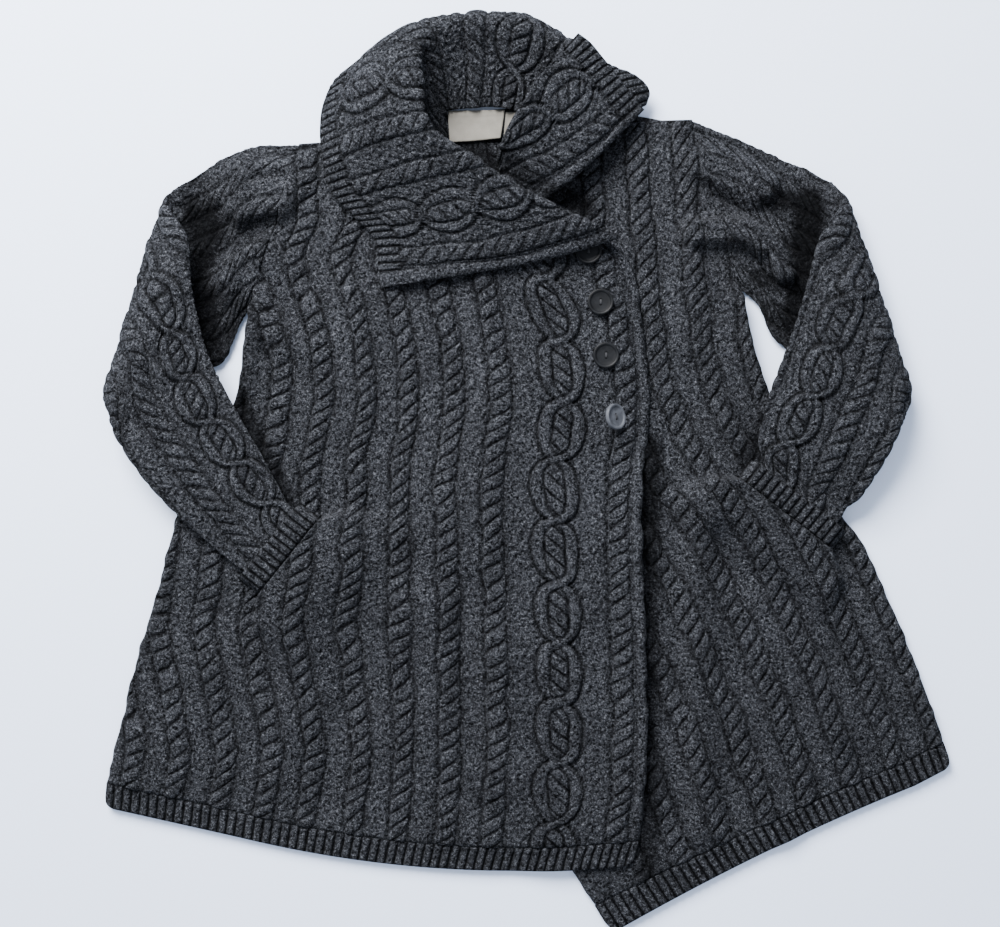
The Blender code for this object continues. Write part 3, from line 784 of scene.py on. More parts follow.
@dataclass(frozen=True)
class FeltedWool:
    """Thick wool yarn, milled until its stitches half close, in dark fibres with pale ones among them.

    The cables' furrows are drawn from the ropes' and chains' own measures, finer than the mesh,
    as bumps and as painted shade in the colour; the stitches' crests are painted lighter and
    their gaps and furrows darker.
    """

    name: str = "felted_wool"
    # dark is what the yarn falls to where its tone is lowest: in dark grain and under painted shade
    dark: Colour = (0.0006, 0.0007, 0.0010)
    body: Colour = (0.0245, 0.0262, 0.0310)
    pale: Colour = (0.148, 0.156, 0.174)
    cable_depth: float = 0.0020
    stitch_depth: float = 0.0015
    fibre_depth: float = 0.0005
    twist_line: float = 0.17  # half width of the line between a rope's strands, in turns
    rope_line: float = 2.5  # half width of the line beside a rope, in millimetres
    chain_line: float = 2.3  # the same beside a strand of a wide cable
    rib_line: float = 0.27  # half width of the line between ribs, in ribs
    rope: Rope = Rope()
    chain: Chain = Chain()

    def twist(self, turns: Wire) -> Wire:
        """The furrow between two strands of a rope."""
        return turns.to_whole().line(self.twist_line)

    def rope_furrows(self, made: Shader, stray: Wire, fray: Wire, furrow_shade_strength: Wire) -> Wire:
        """Furrows beside the ropes and between their strands."""
        marks = made.attribute("rope")
        away, turns, shown = (made.part(marks, axis) for axis in "XYZ")
        turns, away = turns + stray * 0.2 + fray * 0.13, away + stray * 2.4 + fray * 2.2
        open_turn = 1.0 - turns.to_whole() * 2.0
        leaf = (1.0 - open_turn * open_turn).most(0.0) ** 0.5
        pinched = away + (1.0 - leaf) * self.rope.scallop
        inside = 1.0 - pinched.between(0.84 * self.rope.half, self.rope.half)
        beside = (pinched - (self.rope.half + 1.1)).line(self.rope_line)
        return (self.twist(turns) * inside).most(beside * furrow_shade_strength) * shown

    def chain_furrows(self, made: Shader, stray: Wire, fray: Wire, furrow_shade_strength: Wire) -> Wire:
        """Furrows round a wide cable's strands and across the ovals within."""
        marks, cable = made.attribute("chain"), self.chain
        away, place, shown = (made.part(marks, axis) for axis in "XYZ")
        away = away + stray * 2.0 + fray * 2.0
        turn = place * pi
        cosine = (turn + pi / 2).sine()
        spread = 1.0 - cosine * cosine * (1.0 - cable.soft**2)
        swing = turn.sine() / spread**0.5 * cable.swing
        pace = cosine / spread**1.5 * (cable.swing * pi / cable.repeat * cable.soft**2)
        slant = (pace * pace + 1.0) ** 0.5
        half = (1.0 - cosine * cosine * cable.pinch) * cable.strand
        side = cosine.between(-0.02, 0.02) * 2.0 - 1.0
        over = abs(away + side * swing) / slant - half
        under = abs(away - side * swing) / slant - half
        open_part = over.between(-0.4, 0.4)
        both = open_part * under.between(0.2, 1.4)
        within = (abs(swing) - abs(away)).between(0.0, 2.0)
        turns = (place * cable.repeat - away * cable.core.lean) / cable.core.spacing + stray * 0.14
        lines = (over - 0.8).line(self.chain_line).most((under - 0.8).line(self.chain_line) * open_part)
        lines = lines * (within + furrow_shade_strength * (1.0 - within)) * (1.0 - cosine * cosine * 0.5)
        return lines.most(self.twist(turns) * both * within) * shown

    def rib_furrows(self, made: Shader) -> Wire:
        """Furrows between ribs."""
        marks = made.attribute("ribs")
        return made.part(marks, "X").to_whole().line(self.rib_line) * made.part(marks, "Y")

    def build(self) -> bpy.types.Material:
        """Makes the material."""
        made = Shader(self.name)
        stitch, place = made.attribute("stitch"), made.place()
        # Painted shade masks: the mesh's stitch furrows, and the share of painted shade in the listed deep
        # folds.
        stitch_furrow_shade, deep = made.part(stitch, "Z"), made.part(made.attribute("ribs"), "Z")
        stray, fray = made.noise(place, 150.0, 1.0) - 0.5, made.noise(place, 620.0, 2.0, 0.7) - 0.5
        # How strongly the cables' furrows are drawn, in painted shade and in bump depth, varying at random.
        furrow_shade_strength = made.noise(place, 85.0, 1.0) * 1.1 + 0.34
        closed = made.noise(place, 240.0, 1.0).between(0.36, 0.60) * 0.55 + 0.28
        ropes = self.rope_furrows(made, stray, fray, closed)
        cables = ropes.most(self.chain_furrows(made, stray, fray, closed)) * furrow_shade_strength
        furrow = cables.most(self.rib_furrows(made))
        flat = made.node("ShaderNodeCombineXYZ", {}, {0: made.part(stitch, "X"), 1: made.part(stitch, "Y")})
        wander = made.noise(place, 420.0, 1.0)
        shifted = made.node("ShaderNodeVectorMath", {"operation": "ADD"}, {0: flat, 1: wander * 1.3})
        loft = 1.0 - made.cells(shifted, 1.0, 0.95).between(0.06, 0.62)
        lumps = made.noise(place, 230.0, 1.0, 0.55).between(0.34, 0.66)
        grain = made.noise(place, 460.0, 4.0, 0.78).between(0.40, 0.62)
        fibre = made.noise(place, 1300.0, 2.0, 0.7)
        hairs = (made.noise(place, 300.0, 2.0, 0.6) - 0.5).line(0.022)
        patch = made.noise(place, 26.0, 2.0, 0.55)
        # Painted shade: the tone falls in the cables' and ribs' furrows and in the mesh's stitch furrows,
        # and rises on the stitches' crests (loft and lumps, which are bump heights too); grain and patch are
        # the yarn's own uneven tone.
        tone = (grain * 0.55 + loft * 0.20 + lumps * 0.25) * (1.0 - furrow * 0.95)
        # Painted shade: deep darkens the listed deep folds by up to nine tenths.
        tone = tone * (1.0 - stitch_furrow_shade.between(0.1, 0.9) * 0.66) * (patch * 0.8 + 0.6) * (1.0 - deep * 0.9)
        yarn = made.mix(tone, self.dark, self.body)
        flecks = (fibre.between(0.50, 0.68) * 0.9 + hairs * 0.8) * tone
        colour = made.mix(flecks, yarn, self.pale)
        cable = made.bump(1.0 - furrow, self.cable_depth)
        knit = made.bump(loft * 0.35 + grain * 0.35 + lumps * 0.5, self.stitch_depth, 1.0, cable)
        normal = made.bump(fibre, self.fibre_depth, 0.9, knit)
        settings = {"Specular_IOR_Level": 0.02, "Sheen_Weight": 0.01, "Sheen_Roughness": 0.5}
        return made.finish(colour, 0.95, normal, **settings)


@dataclass(frozen=True)
class Horn:
    """Dull grey horn: cloudy, with the marks of the lathe and of a soft polish."""

    name: str = "grey_horn"
    deep: Colour = (0.0023, 0.0026, 0.0032)
    cloud: Colour = (0.0063, 0.0069, 0.0082)

    def build(self) -> bpy.types.Material:
        """Makes the material."""
        made = Shader(self.name)
        place = made.place()
        clouds = made.noise(place, 160.0, 4.0, 0.6).between(0.3, 0.75)
        scratches = made.noise(place, 2600.0, 2.0)
        colour = made.mix(clouds, self.deep, self.cloud)
        roughness = scratches * 0.12 + 0.38
        return made.finish(colour, roughness, made.bump(scratches, 0.00003, 0.5), Specular_IOR_Level=0.13)


@dataclass(frozen=True)
class SewingThread:
    """Two-ply thread in one colour."""

    name: str = "button_thread"
    colour: Colour = (0.006, 0.0065, 0.008)

    def build(self) -> bpy.types.Material:
        """Makes the material."""
        made = Shader(self.name)
        ply = made.noise(made.place(), 3500.0, 1.0)
        lighter = tuple(2.2 * c for c in self.colour)
        return made.finish(made.mix(ply, self.colour, lighter), 0.8, made.bump(ply, 0.00005))


@dataclass(frozen=True)
class WovenTape:
    """Cream tape in a fine plain weave."""

    name: str = "woven_tape"
    warp: Colour = (0.212, 0.199, 0.171)
    shade: Colour = (0.098, 0.091, 0.075)
    threads: float = 2.6  # threads to the millimetre

    def build(self) -> bpy.types.Material:
        """Makes the material."""
        made = Shader(self.name)
        place = made.place()
        pace = self.threads * 2 * pi / MM
        across = (made.part(place, "X") * pace).wave()
        along = (made.part(place, "Y") * pace).wave()
        weave = across * along
        stain = made.noise(place, 90.0, 3.0)
        colour = made.mix((weave * 0.6 + stain * 0.6).between(0.1, 1.0), self.shade, self.warp)
        return made.finish(colour, 0.75, made.bump(weave, 0.00012), Sheen_Weight=0.15)


@dataclass(frozen=True)
class PaleTable:
    """A smooth white table top."""

    name: str = "pale_table"
    colour: Colour = (0.72, 0.815, 1.0)

    def build(self) -> bpy.types.Material:
        """Makes the material."""
        made = Shader(self.name)
        cloudy = made.noise(made.place(), 1.2, 2.0)
        darker = tuple(0.97 * c for c in self.colour)
        return made.finish(made.mix(cloudy, darker, self.colour), 0.6, None, Specular_IOR_Level=0.2)


class Finish(Enum):
    """The coat's finishes, by what each is made of."""

    WOOL = FeltedWool()
    HORN = Horn()
    PALE_HORN = Horn("pale_horn", (0.040, 0.043, 0.050), (0.075, 0.080, 0.092))
    THREAD = SewingThread()
    TAPE = WovenTape()
    TABLE = PaleTable()


@cache
def material(finish: Finish) -> bpy.types.Material:
    """A finish's material, built once."""
    return finish.value.build()


def dress(piece: Piece, finish: Finish) -> None:
    """Gives a piece one finish all over."""
    piece.data.materials.clear()
    piece.data.materials.append(material(finish))


# ---------------- fronts and back


@dataclass(frozen=True)
class Row:
    """A row of a panel: its outer side, pocket line and front edge, and the bow of its middle.

    cut is where the front edge stands here among the lines of knitting, in millimetres across.
    """

    name: str
    side: Point
    slit: Optional[Point]
    edge: Point
    bow: float
    cut: float = 0.0


@dataclass(frozen=True)
class Pocket:
    """The line of a pocket's slit and how its lip rises over the sleeve end."""

    foot: Point
    head: Point
    side: float  # 1 where the sleeve end lies to the right of the line from foot to head
    level: float  # how far from the slit the cloth keeps its whole lift
    reach: float  # how far from the slit it lies flat again
    lift: float = 15.6
    lip_end: float = 8.0  # length over which the lip falls at each end of the slit
    lip_spread: float = 20.0  # how much longer the lifted part gets away from the slit

    def at(self, x: Array, y: Array, inner: Array) -> Array:
        """Height of a front over the sleeve end, which lies on the slit's centre side."""
        length, run, right = beside_segment(self.foot, self.head, x, y)
        depth = self.side * right
        covered = (depth >= -1.0) & inner
        depth = np.maximum(depth, 0.0)
        level = length / 2 - self.lip_end + np.minimum(1.2 * depth, self.lip_spread)
        past = np.abs(run - length / 2) - level
        across = 1.0 - ease(0.0, 1.0, past / (self.lip_end + 0.5 * depth))
        return np.where(covered, self.lift * across * (1.0 - ease(self.level, self.reach, depth)), 0.0)


RIGHT_POCKET = Pocket((-252, -117), (-190, -40), side=1.0, level=32, reach=95)
LEFT_POCKET = Pocket((283, -75), (189, -3), side=-1.0, level=30, reach=72)
RIGHT_ROWS = (
    Row("hem", (-391, -288), (-265, -316), (103, -340), -17),
    Row("low", (-377, -231), (-262, -250), (108, -271), -10),
    Row("calf", (-359, -160), (-258, -172), (108, -195), -4),
    Row("slit_foot", (-346, -119), (-252, -117), (107, -150), 0),
    Row("slit_low", (-344, -112), (-247, -110.8), (107, -143), 0),
    Row("slit_high", (-326, -45), (-195, -46.2), (104, -75), 0),
    Row("slit_head", (-323, -38), (-190, -40), (104, -67), 0),
    Row("hip", (-301, 8), (-186, 5), (104, -12), 0),
    Row("waist", (-270, 71), (-180, 68), (112, 52), 0),
    Row("armpit", (-258, 147), (-176, 147), (104, 140), 0),
    Row("chest", (-243.4, 194), (-172, 194), (92, 194), 0),
    Row("collar_turn", (-232.8, 228), (-168, 232), (29, 246), 0, 75),
    Row("neck", (-222.8, 260), (-165, 268), (-45, 283), 0, 149),
    Row("shoulder", (-211, 303.5), (-164, 307), (-119, 308), 0, 223),
)
LEFT_ROWS = (
    Row("hem", (384, -250), (350, -268), (61, -402), 3, -113),
    Row("low", (373, -219), (338, -236), (29, -350), 2, -125),
    Row("calf", (351, -160), (318, -178), (6, -276), 0, -122),
    Row("knee", (325, -100), (295, -112), (-8, -202), 0, -105),
    Row("slit_foot", (309, -67), (283, -75), (-14, -150), 0, -90),
    Row("slit_low", (304, -60), (277, -70.4), (-15, -143), 0, -88),
    Row("slit_high", (264, 7), (195, -7.6), (-20, -72), 0, -51),
    Row("slit_head", (259, 15), (189, -3), (-21, -65), 0, -47),
    Row("waist", (219, 80), (165, 76), (-24, 66), 0, 0),
    Row("armpit", (194, 167), (150, 158), (-25, 140), 0, 13),
    Row("chest", (180.7, 214), (140, 208), (-26, 196), 0, 18),
    Row("neck", (166.2, 265), (132, 262), (-17, 251), 0, 32),
    Row("shoulder", (150, 326), (118, 325), (66, 320), 0, 119),
)
BACK_ROWS = (
    Row("hem", (-385, -284), None, (383, -244), -68),
    Row("low", (-351, -143), None, (350, -160), -20),
    Row("pocket", (-323, -43), None, (292, -44), 0),
    Row("waist", (-269, 71), None, (218, 80), 0),
    Row("armpit", (-257, 148), None, (192, 168), 0),
    Row("yoke", (-222.3, 260), None, (165.7, 265), 4),
    Row("shoulder", (-211, 297), None, (149, 320), 27),
)
RIGHT_BAND = Row("bottom", (-393, -311), (-268, -339), (96, -364), -16)
LEFT_BAND = Row("bottom", (392.5, -273), (358, -291), (77, -428), 6)
BACK_BAND = Row("bottom", (-388, -306), None, (386, -267), -74)
RIGHT_FOLDS = (
    Fold((-58, -110), (-52, -250), 26, -3.5),
    Fold((-84, -120), (-92, -260), 26, 4),
    Fold((-24, -150), (-20, -290), 26, 3.5),
    Fold((-150, -60), (-120, 60), 34, -3),
    Fold((-205, -180), (-235, -290), 34, 4.5),
    Fold((-165, -200), (-180, -300), 26, -3.5),
    Fold((-300, -190), (-345, -270), 45, 5),
    Fold((-110, -150), (-60, -20), 60, 5),
    Fold((-190, 60), (-160, 140), 50, 4),
    Fold((-60, -250), (-40, -330), 45, 4),
    Fold((-245, 130), (-200, 110), 24, 4),
    Fold((-256, 142), (-268, 80), 20, 9),
)
LEFT_FOLDS = (
    Fold((150, 30), (160, -330), 30, 9),
    Fold((215, -130), (285, -240), 36, 7),
    Fold((185, 60), (170, -40), 26, 6),
    Fold((150, 120), (140, 200), 26, 4),
    Fold((194, 160), (219, 88), 20, 9),
    Fold((215, -280), (235, -330), 26, 5),
)
RIGHT_PUFFS = (
    Fold((-298, 268), (-228, 266), 30, 11, 12),
    Fold((-262, 250), (-234, 254), 28, 13, 12),
    Tuck((-300, 181), (-232, 228), 14, 64),
)
# Painted shade: shares by which the wool is drawn darker, as in shadow, in the hollow by the right sleeve's
# turn, along its forearm's inner edge, on its flap in the gap by the body and on the right front beside the
# forearm.
RIGHT_PAINTED_SHADE_FOLDS = (
    Fold((-310, 254), (-298, 222), 30, 1.0, 10),
    Fold((-302, 232), (-296, 118), 20, 0.95, 6),
    Fold((-296, 214), (-268, 236), 12, 0.50, 3),
    Fold((-282, 158), (-266, 148), 22, 0.50, 8),
    Fold((-282, 120), (-288, 90), 24, 0.75, 14),
    Fold((-268, 66), (-226, -24), 17, 0.85, 4),
)
LEFT_PUFFS = (
    Fold((162, 284), (212, 263), 24, 11, 9),
    Fold((154, 220), (196, 221), 19, 14, 6),
    Fold((196, 221), (224, 207), 18, 18, 6),
    Fold((224, 207), (237, 186), 16, 18, 5),
)
# Painted shade: the same for the left sleeve and the left front: the hollow by the sleeve's turn, along its
# forearm's inner edge, its flap in the gap, the front beside the forearm, the front by the collar's end and
# the valley beside the right front's edge.
LEFT_PAINTED_SHADE_FOLDS = (
    Fold((218, 254), (262, 246), 15, 0.90, 5),
    Fold((260, 246), (255, 190), 24, 1.0, 9),
    Fold((255, 192), (243, 138), 18, 0.95, 6),
    Fold((212, 180), (234, 172), 13, 0.75, 4),
    Fold((226, 140), (226, 104), 24, 0.62, 14),
    Fold((239, 82), (205, 12), 17, 0.80, 4),
    Fold((36, 253), (52, 244), 15, 0.90, 4),
    Fold((113, 24), (110, -80), 17, 0.90, 5),
    Fold((110, -80), (109, -370), 18, 0.70, 5),
)
OVERLAP_EDGE = ((150, 112), (200, 104), (240, 52), (262, -10))  # up, and where the right front ends
RIGHT_SWAY = ((-420, 0), (-324, 1.9), (-258.5, 9.3), (-142, -13), (-26, 7.4), (67, 13), (123, 13), (200, 4))
FRONT_ROPES = (22.0, 138.0, 181.0, 225.0, 268.0, 313.0, 354.0, 397.0, 440.0, 482.0)
FRONT_LAYOUT = Layout(FRONT_ROPES, (80.0,))
LEFT_LAYOUT = Layout(tuple(22.0 + 43.2 * n for n in range(-3, 11)))


def uncovered(covered: bool, x: Array, y: Array, start: float = -26.0, end: float = -4.0) -> Any:
    """0 where the left front lies under the right one and its knitting is pressed smooth.

    Args:
        covered: whether the piece is part of the left front.
        x: its points' places to the wearer's left.
        y: its points' places up.
        start: how far from the right front's edge the smooth part ends.
        end: how far from that edge nothing is pressed any more.

    Returns:
        A share for each point, or 1 for a piece that nothing covers.
    """
    return ease(start, end, x - np.interp(y, *zip(*OVERLAP_EDGE))) if covered else 1.0


def left_edge_x(y: Array) -> Array:
    """Where the left front's own edge lies under the right front."""
    heights = [row.edge[1] for row in LEFT_ROWS]
    return np.interp(np.minimum(y, 240.0), heights, [row.edge[0] for row in LEFT_ROWS])


def right_low(x: Array, y: Array, inner: Array) -> Array:
    """Underside of the right front: it steps up where it lies over the left one."""
    over = ease(0.0, 1.0, (x - left_edge_x(y) + 62) / 48)
    base = FRONT_LOW + (OVERLAP_LOW - FRONT_LOW) * over
    flat = 1.0 - ease(-10, 40, x)
    raised = np.maximum(folds_at(RIGHT_FOLDS, x, y), -3.8) * flat + highest(RIGHT_PUFFS, x, y)
    return base + raised + RIGHT_POCKET.at(x, y, inner)


def left_low(x: Array, y: Array, inner: Array) -> Array:
    """Underside of the left front, with its folds where nothing covers it."""
    folds = folds_at(LEFT_FOLDS, x, y) * ease(124, 154, x) + highest(LEFT_PUFFS, x, y)
    return FRONT_LOW + folds + LEFT_POCKET.at(x, y, inner)


def right_sway(across: Array, y: Array) -> Array:
    """How far the right front's outer ropes wander from straight, towards the front edge."""
    return ease(190, 330, across) * np.interp(y, *zip(*RIGHT_SWAY))


Low = Callable[[Array, Array, Array], Array]


@dataclass
class Panel:
    """A front of the coat: its rows, its cables, its pocket slit and the ribbed band below it."""

    name: str
    rows: tuple[Row, ...]
    band: Row
    low: Low
    side_cells: int
    centre_cells: int
    row_cells: tuple[int, int, int]
    layout: Layout = FRONT_LAYOUT
    chain_crossing: float = -209.5  # height on the surface where two strands of the chain cross
    sway: Optional[Callable[[Array, Array], Array]] = None
    hand: float = 1.0  # which way its ropes twist, seen from its front edge
    covered: bool = False  # whether it lies under the other front
    lifted: float = 0.0  # how far the front edge stands up off the cloth under it
    # painted shade: listed folds where the wool is drawn darker, as in shadow
    painted_shade_folds: tuple[Fold, ...] = ()
    base: float = 2.5  # thickness of the cloth below its relief
    ribbing: Ribbing = Ribbing()
    lip: float = 0.3  # half of the gap between a slit's two lips
    unevenness: Unevenness = Unevenness(seed=5, size=0.8, reach=60.0)
    swells: Unevenness = Unevenness(seed=11, size=1.5, reach=105.0)
    frayed: Unevenness = Unevenness(seed=19, size=0.55, reach=20.0)

    def stops(self) -> Array:
        """Where the rows stand along the panel."""
        return chord_stops(columns(self.rows, "side", "slit", "edge"))

    def fine_rows(self) -> tuple[Array, int, int]:
        """Places of the mesh rows along the panel, and the numbers of the slit's two ends."""
        stops, names = self.stops(), [row.name for row in self.rows]
        foot, head = stops[names.index("slit_foot")], stops[names.index("slit_head")]
        below, beside, above = self.row_cells
        spans = ((0, foot, below), (foot, head, beside), (head, stops[-1], above))
        places = [np.linspace(low, high, count + 1)[:-1] for low, high, count in spans]
        return np.concatenate((*places, stops[-1:])), below, below + beside

    def plan(self) -> tuple[Array, Array]:
        """Every mesh point seen from above, and whether it is on the slit's centre side."""
        places, stops = self.fine_rows()[0], self.stops()
        lines = columns(self.rows, "side", "slit", "edge", "bow")
        side, slit, edge, bow = (through(stops, line, places) for line in lines)
        outer = shares(self.side_cells)[None, :, None]
        centre = shares(self.centre_cells)[None, 1:, None]
        first = side[:, None] + (slit - side)[:, None] * outer
        second = slit[:, None] + (edge - slit)[:, None] * centre
        second[..., 1] += bow[:, None] * bowed(centre[..., 0])
        flat = np.concatenate((first, second), axis=1)
        inner = np.zeros(flat.shape[:2], bool)
        inner[:, self.side_cells + 1 :] = True
        return flat, inner

    def cloth_map(self, flat: Array, reach: Reach) -> tuple[Array, Array]:
        """Distance across the cloth from its front edge, and along it from its hem."""
        cut = through(self.stops(), [row.cut for row in self.rows], self.fine_rows()[0])
        across = reach.edge + cut[:, None]
        middle = int(0.55 * len(flat))
        row_step, column_step = np.gradient(flat, axis=1)[middle], np.gradient(flat, axis=0)[middle]
        shear = (row_step * column_step).sum(-1) / np.linalg.norm(column_step, axis=1)
        along = reach.foot - reach.foot[middle] + np.cumsum(shear)
        return (across + self.sway(across, flat[..., 1]) if self.sway else across), along

    def chain_start(self, across: Array, along: Array, y: Array) -> float:
        """Where along the cloth the chain's strands cross at the named height."""
        if not self.layout.chains:
            return 0.0
        middle = self.layout.chains[0]
        column = int(np.argmin(np.abs(across[len(across) // 2] - middle)))
        return float(np.interp(self.chain_crossing, y[:, column], along[:, column]))

    def relief(self, flat: Array, reach: Reach) -> Relief:
        """The knitting of the panel."""
        (across, along), (x, y) = self.cloth_map(flat, reach), np.moveaxis(flat, -1, 0)
        start = self.chain_start(across, along, y)
        stray = self.unevenness.at(x, y)
        made = self.layout.field(across + stray, along + 1.2 * stray, start, self.hand, reach.edge)
        made.hide_cables(1.0 - uncovered(self.covered, x, y, -30.0))
        # Painted shade in the listed folds, for the wool's material to read from the ribs attribute.
        made.ribs[..., 2] = highest(self.painted_shade_folds, x, y)
        return made

    def fullness(self, reach: Reach, y: Array) -> Array:
        """1 in the middle of the cloth, falling to 0 at its edges."""
        sewn = 0.6 * ease(*SIDE_SEWN, y)
        side = sewn + (1.0 - sewn) * rounded(reach.side, 6.0)
        foot = 0.6 + 0.4 * rounded(reach.foot, 2.2)
        return side * rounded(reach.edge, 4.5) * foot * rounded(reach.top, 3.0)

    def build(self) -> Piece:
        """Makes the panel's object."""
        flat, inner = self.plan()
        (x, y), reach = np.moveaxis(flat, -1, 0), Reach.over(flat)
        relief, full = self.relief(flat, reach), self.fullness(reach, y)
        height = self.base + relief.height * uncovered(self.covered, x, y)
        thick = THIN + height * full * self.slit_share(reach)
        swells = np.maximum(self.swells.at(x, y), -0.3) * full * uncovered(self.covered, x, y, end=10.0)
        base = self.low(x, y, inner) + self.edge_lift(reach, y) + CLEAR
        x = x + self.edge_wander(x, y, reach)
        top, under = np.stack((x, y, base + thick + swells), -1), coarse(np.stack((x, y, base), -1))
        return Shell(self.name, top, under, relief, self.open_slit(top, under)).build()

    def slit_share(self, reach: Reach) -> Array:
        """How full the cloth is beside the slit's two lips."""
        _, foot, head = self.fine_rows()
        rows = np.arange(len(reach.side))[:, None]
        beside = ((rows > foot) & (rows < head)).astype(float)
        from_slit = np.abs(reach.side - reach.side[:, self.side_cells, None])
        return 1.0 - 0.65 * beside * (1.0 - rounded(from_slit, 2.4))

    def open_slit(self, top: Array, under: Array) -> Slit:
        """Parts the slit's lips: the grid's column is the outer one, its raised copy the inner one."""
        _, foot, head = self.fine_rows()
        part = self.lip if self.rows[0].side[0] > 0 else -self.lip
        lips = []
        for grid, step in ((top, 1), (under, FINE_PER_COARSE)):
            span, place = slice(foot // step + 1, head // step), self.side_cells // step
            lip = grid[span, place].copy()
            lip[:, 0] -= part
            for inner, sign in ((True, 1), (False, -1)):
                lip[:, 2] += sign * self.low(lip[:, 0], lip[:, 1], np.full(len(lip), inner))
            grid[span, place, 0] += part
            lips.append(lip)
        return Slit(self.side_cells, foot, head, *lips)

    def edge_wander(self, x: Array, y: Array, reach: Reach) -> Array:
        """How far the side and front edges stray from straight, as thick knitting does."""
        near_side, near_edge = (1.0 - ease(2.0, 12.0, away) for away in (reach.side, reach.edge))
        tucked = 1.2 * np.sign(x[:, :1]) * near_side * ease(*SIDE_SEWN, y)
        return self.frayed.at(0 * x, y) * (near_side + near_edge) + tucked

    def edge_lift(self, reach: Reach, y: Array) -> Array:
        """How far the front edge curls up, between the lowest button and the hem."""
        near = 1.0 - ease(2.0, 34.0, reach.edge)
        return self.lifted * near * ease(-340.0, -250.0, y) * (1.0 - ease(-20.0, 25.0, y))

    def build_band(self, name: str) -> Piece:
        """Makes the ribbed band below the panel."""
        return rib_band(name, self.rows[0], self.band, self.low, self.ribbing, self.covered)


def columns(rows: Sequence[Any], *names: str) -> list[Array]:
    """Columns of a table, by their names."""
    return [np.array([getattr(row, name) for row in rows], float) for name in names]


def bowed_line(row: Row, places: Array) -> Array:
    """Points of a row from its side to its front edge, at shares of its length."""
    side, edge = np.array(row.side, float), np.array(row.edge, float)
    if row.slit is None:
        line = side + (edge - side) * places[:, None]
        line[:, 1] += row.bow * bowed(places)
        return line
    slit = np.array(row.slit, float)
    before = np.linalg.norm(slit - side)
    turn = before / (before + np.linalg.norm(edge - slit))
    first = np.clip(places / turn, 0, 1)[:, None]
    second = np.clip((places - turn) / (1 - turn), 0, 1)[:, None]
    line = side + (slit - side) * first + (edge - slit) * second
    line[:, 1] += row.bow * bowed(second[:, 0])
    return line


def rib_band(
    name: str, upper: Row, lower: Row, low: Low, ribbing: Ribbing, covered: bool = False, below: bool = False
) -> Piece:
    """A ribbed band sewn below a panel.

    Args:
        name: the piece's name.
        upper: the panel's last row.
        lower: the band's own bottom edge.
        low: the height of the band's underside.
        ribbing: its ribs.
        covered: True for the left front, whose band is smooth under the other front.
        below: True for the back, whose right side is its underside.

    Returns:
        The band's object.
    """
    length = float(run_length(bowed_line(lower, np.linspace(0, 1, 200))[None], 1)[0, -1])
    count = ribbing.count(length)
    places = shares(count)
    high, foot = bowed_line(upper, places), bowed_line(lower, places)
    from_end = np.minimum(places, 1.0 - places) * length
    foot = foot + (high - foot) * (0.42 * (1.0 - rounded(from_end, 9.0)))[:, None]
    high = high + SEAM * unit(foot - high)
    flat = foot[None] + (high - foot)[None] * shares(BAND_CELLS)[:, None, None]
    x, y = flat[..., 0], flat[..., 1]
    reach = Reach.over(flat)
    inner = np.broadcast_to((places > 0.2)[None], x.shape)
    place = np.broadcast_to(np.arange(count + 1)[None] / ribbing.cells, x.shape)
    relief = ribbing.field(place, reach.foot)
    ridge = ease(0.0, 1.0, (5.6 - reach.top) / 2.4)
    relief.height = relief.height * (1 - ridge) + 1.1 * ridge
    relief.furrow = relief.furrow * (1 - ridge) + 0.3 * bell(reach.top - 5.0, 1.2)
    full = rounded(reach.side, 4) * rounded(reach.edge, 4)
    full = full * rounded(reach.foot, 2.6) * (0.6 + 0.4 * rounded(reach.top, 2.0))
    height = relief.height * uncovered(covered, x, y)
    if below:
        return sheet_shell(name, x, y, 3.4 - (2.4 + np.minimum(height, 1.0)) * full, 3.8, relief)
    base = low(x, y, inner) + CLEAR
    return sheet_shell(name, x, y, base + THIN + (2.3 + height) * full, base, relief)


@dataclass
class Back:
    """The back panel, which lies face down with its inside showing at the neck."""

    name: str = "back_knit"
    rows: tuple[Row, ...] = BACK_ROWS
    cells: tuple[int, int] = (236, 300)  # across and up
    layout: Layout = Layout(tuple(43.4 * n for n in range(2, 10)), (0.0,), plain=0.0)
    crest: float = 3.4  # height of the relief that reaches the floor
    # painted shade: the inside of the back drawn darker below the label, in the collar's shadow
    painted_shade_folds: tuple[Fold, ...] = (Fold((-62, 297), (-34, 284), 20, 0.75, 8),)
    unevenness: Unevenness = Unevenness(seed=7, size=0.8, reach=70.0)

    def build(self) -> Piece:
        """Makes the panel's object, with its cables on the underside."""
        lines = columns(self.rows, "side", "edge", "bow")
        stops = chord_stops(lines[:2])
        places = np.linspace(0, stops[-1], self.cells[1] + 1)
        side, edge, bow = (through(stops, line, places) for line in lines)
        share = shares(self.cells[0])[None, :, None]
        flat = side[:, None] + (edge - side)[:, None] * share
        flat[..., 1] += bow[:, None] * bowed(share[..., 0])
        x, y = flat[..., 0], flat[..., 1]
        reach = Reach.over(flat)
        middle = reach.side[:, self.cells[0] // 2, None]
        stray = self.unevenness.at(x, y)
        relief = self.layout.field(np.abs(reach.side - middle) + stray * 0.5, reach.foot + stray)
        # Painted shade in the listed folds.
        relief.ribs[..., 2] = highest(self.painted_shade_folds, x, y)
        full = rounded(reach.side, 6) * rounded(reach.edge, 6)
        full = full * rounded(reach.foot, 2.2) * rounded(reach.top, 3.0)
        depth = np.clip((self.crest - relief.height) * 0.62, 0.0, 2.4)
        return sheet_shell(self.name, x, y, depth * full + 3.0 * (1 - full), BACK_TOP - 0.1, relief)


# ---------------- sleeves


@dataclass(frozen=True)
class Section:
    """A section of a sleeve: its upper and lower edges and the height of its middle."""

    name: str
    upper: Point
    lower: Point
    height: float
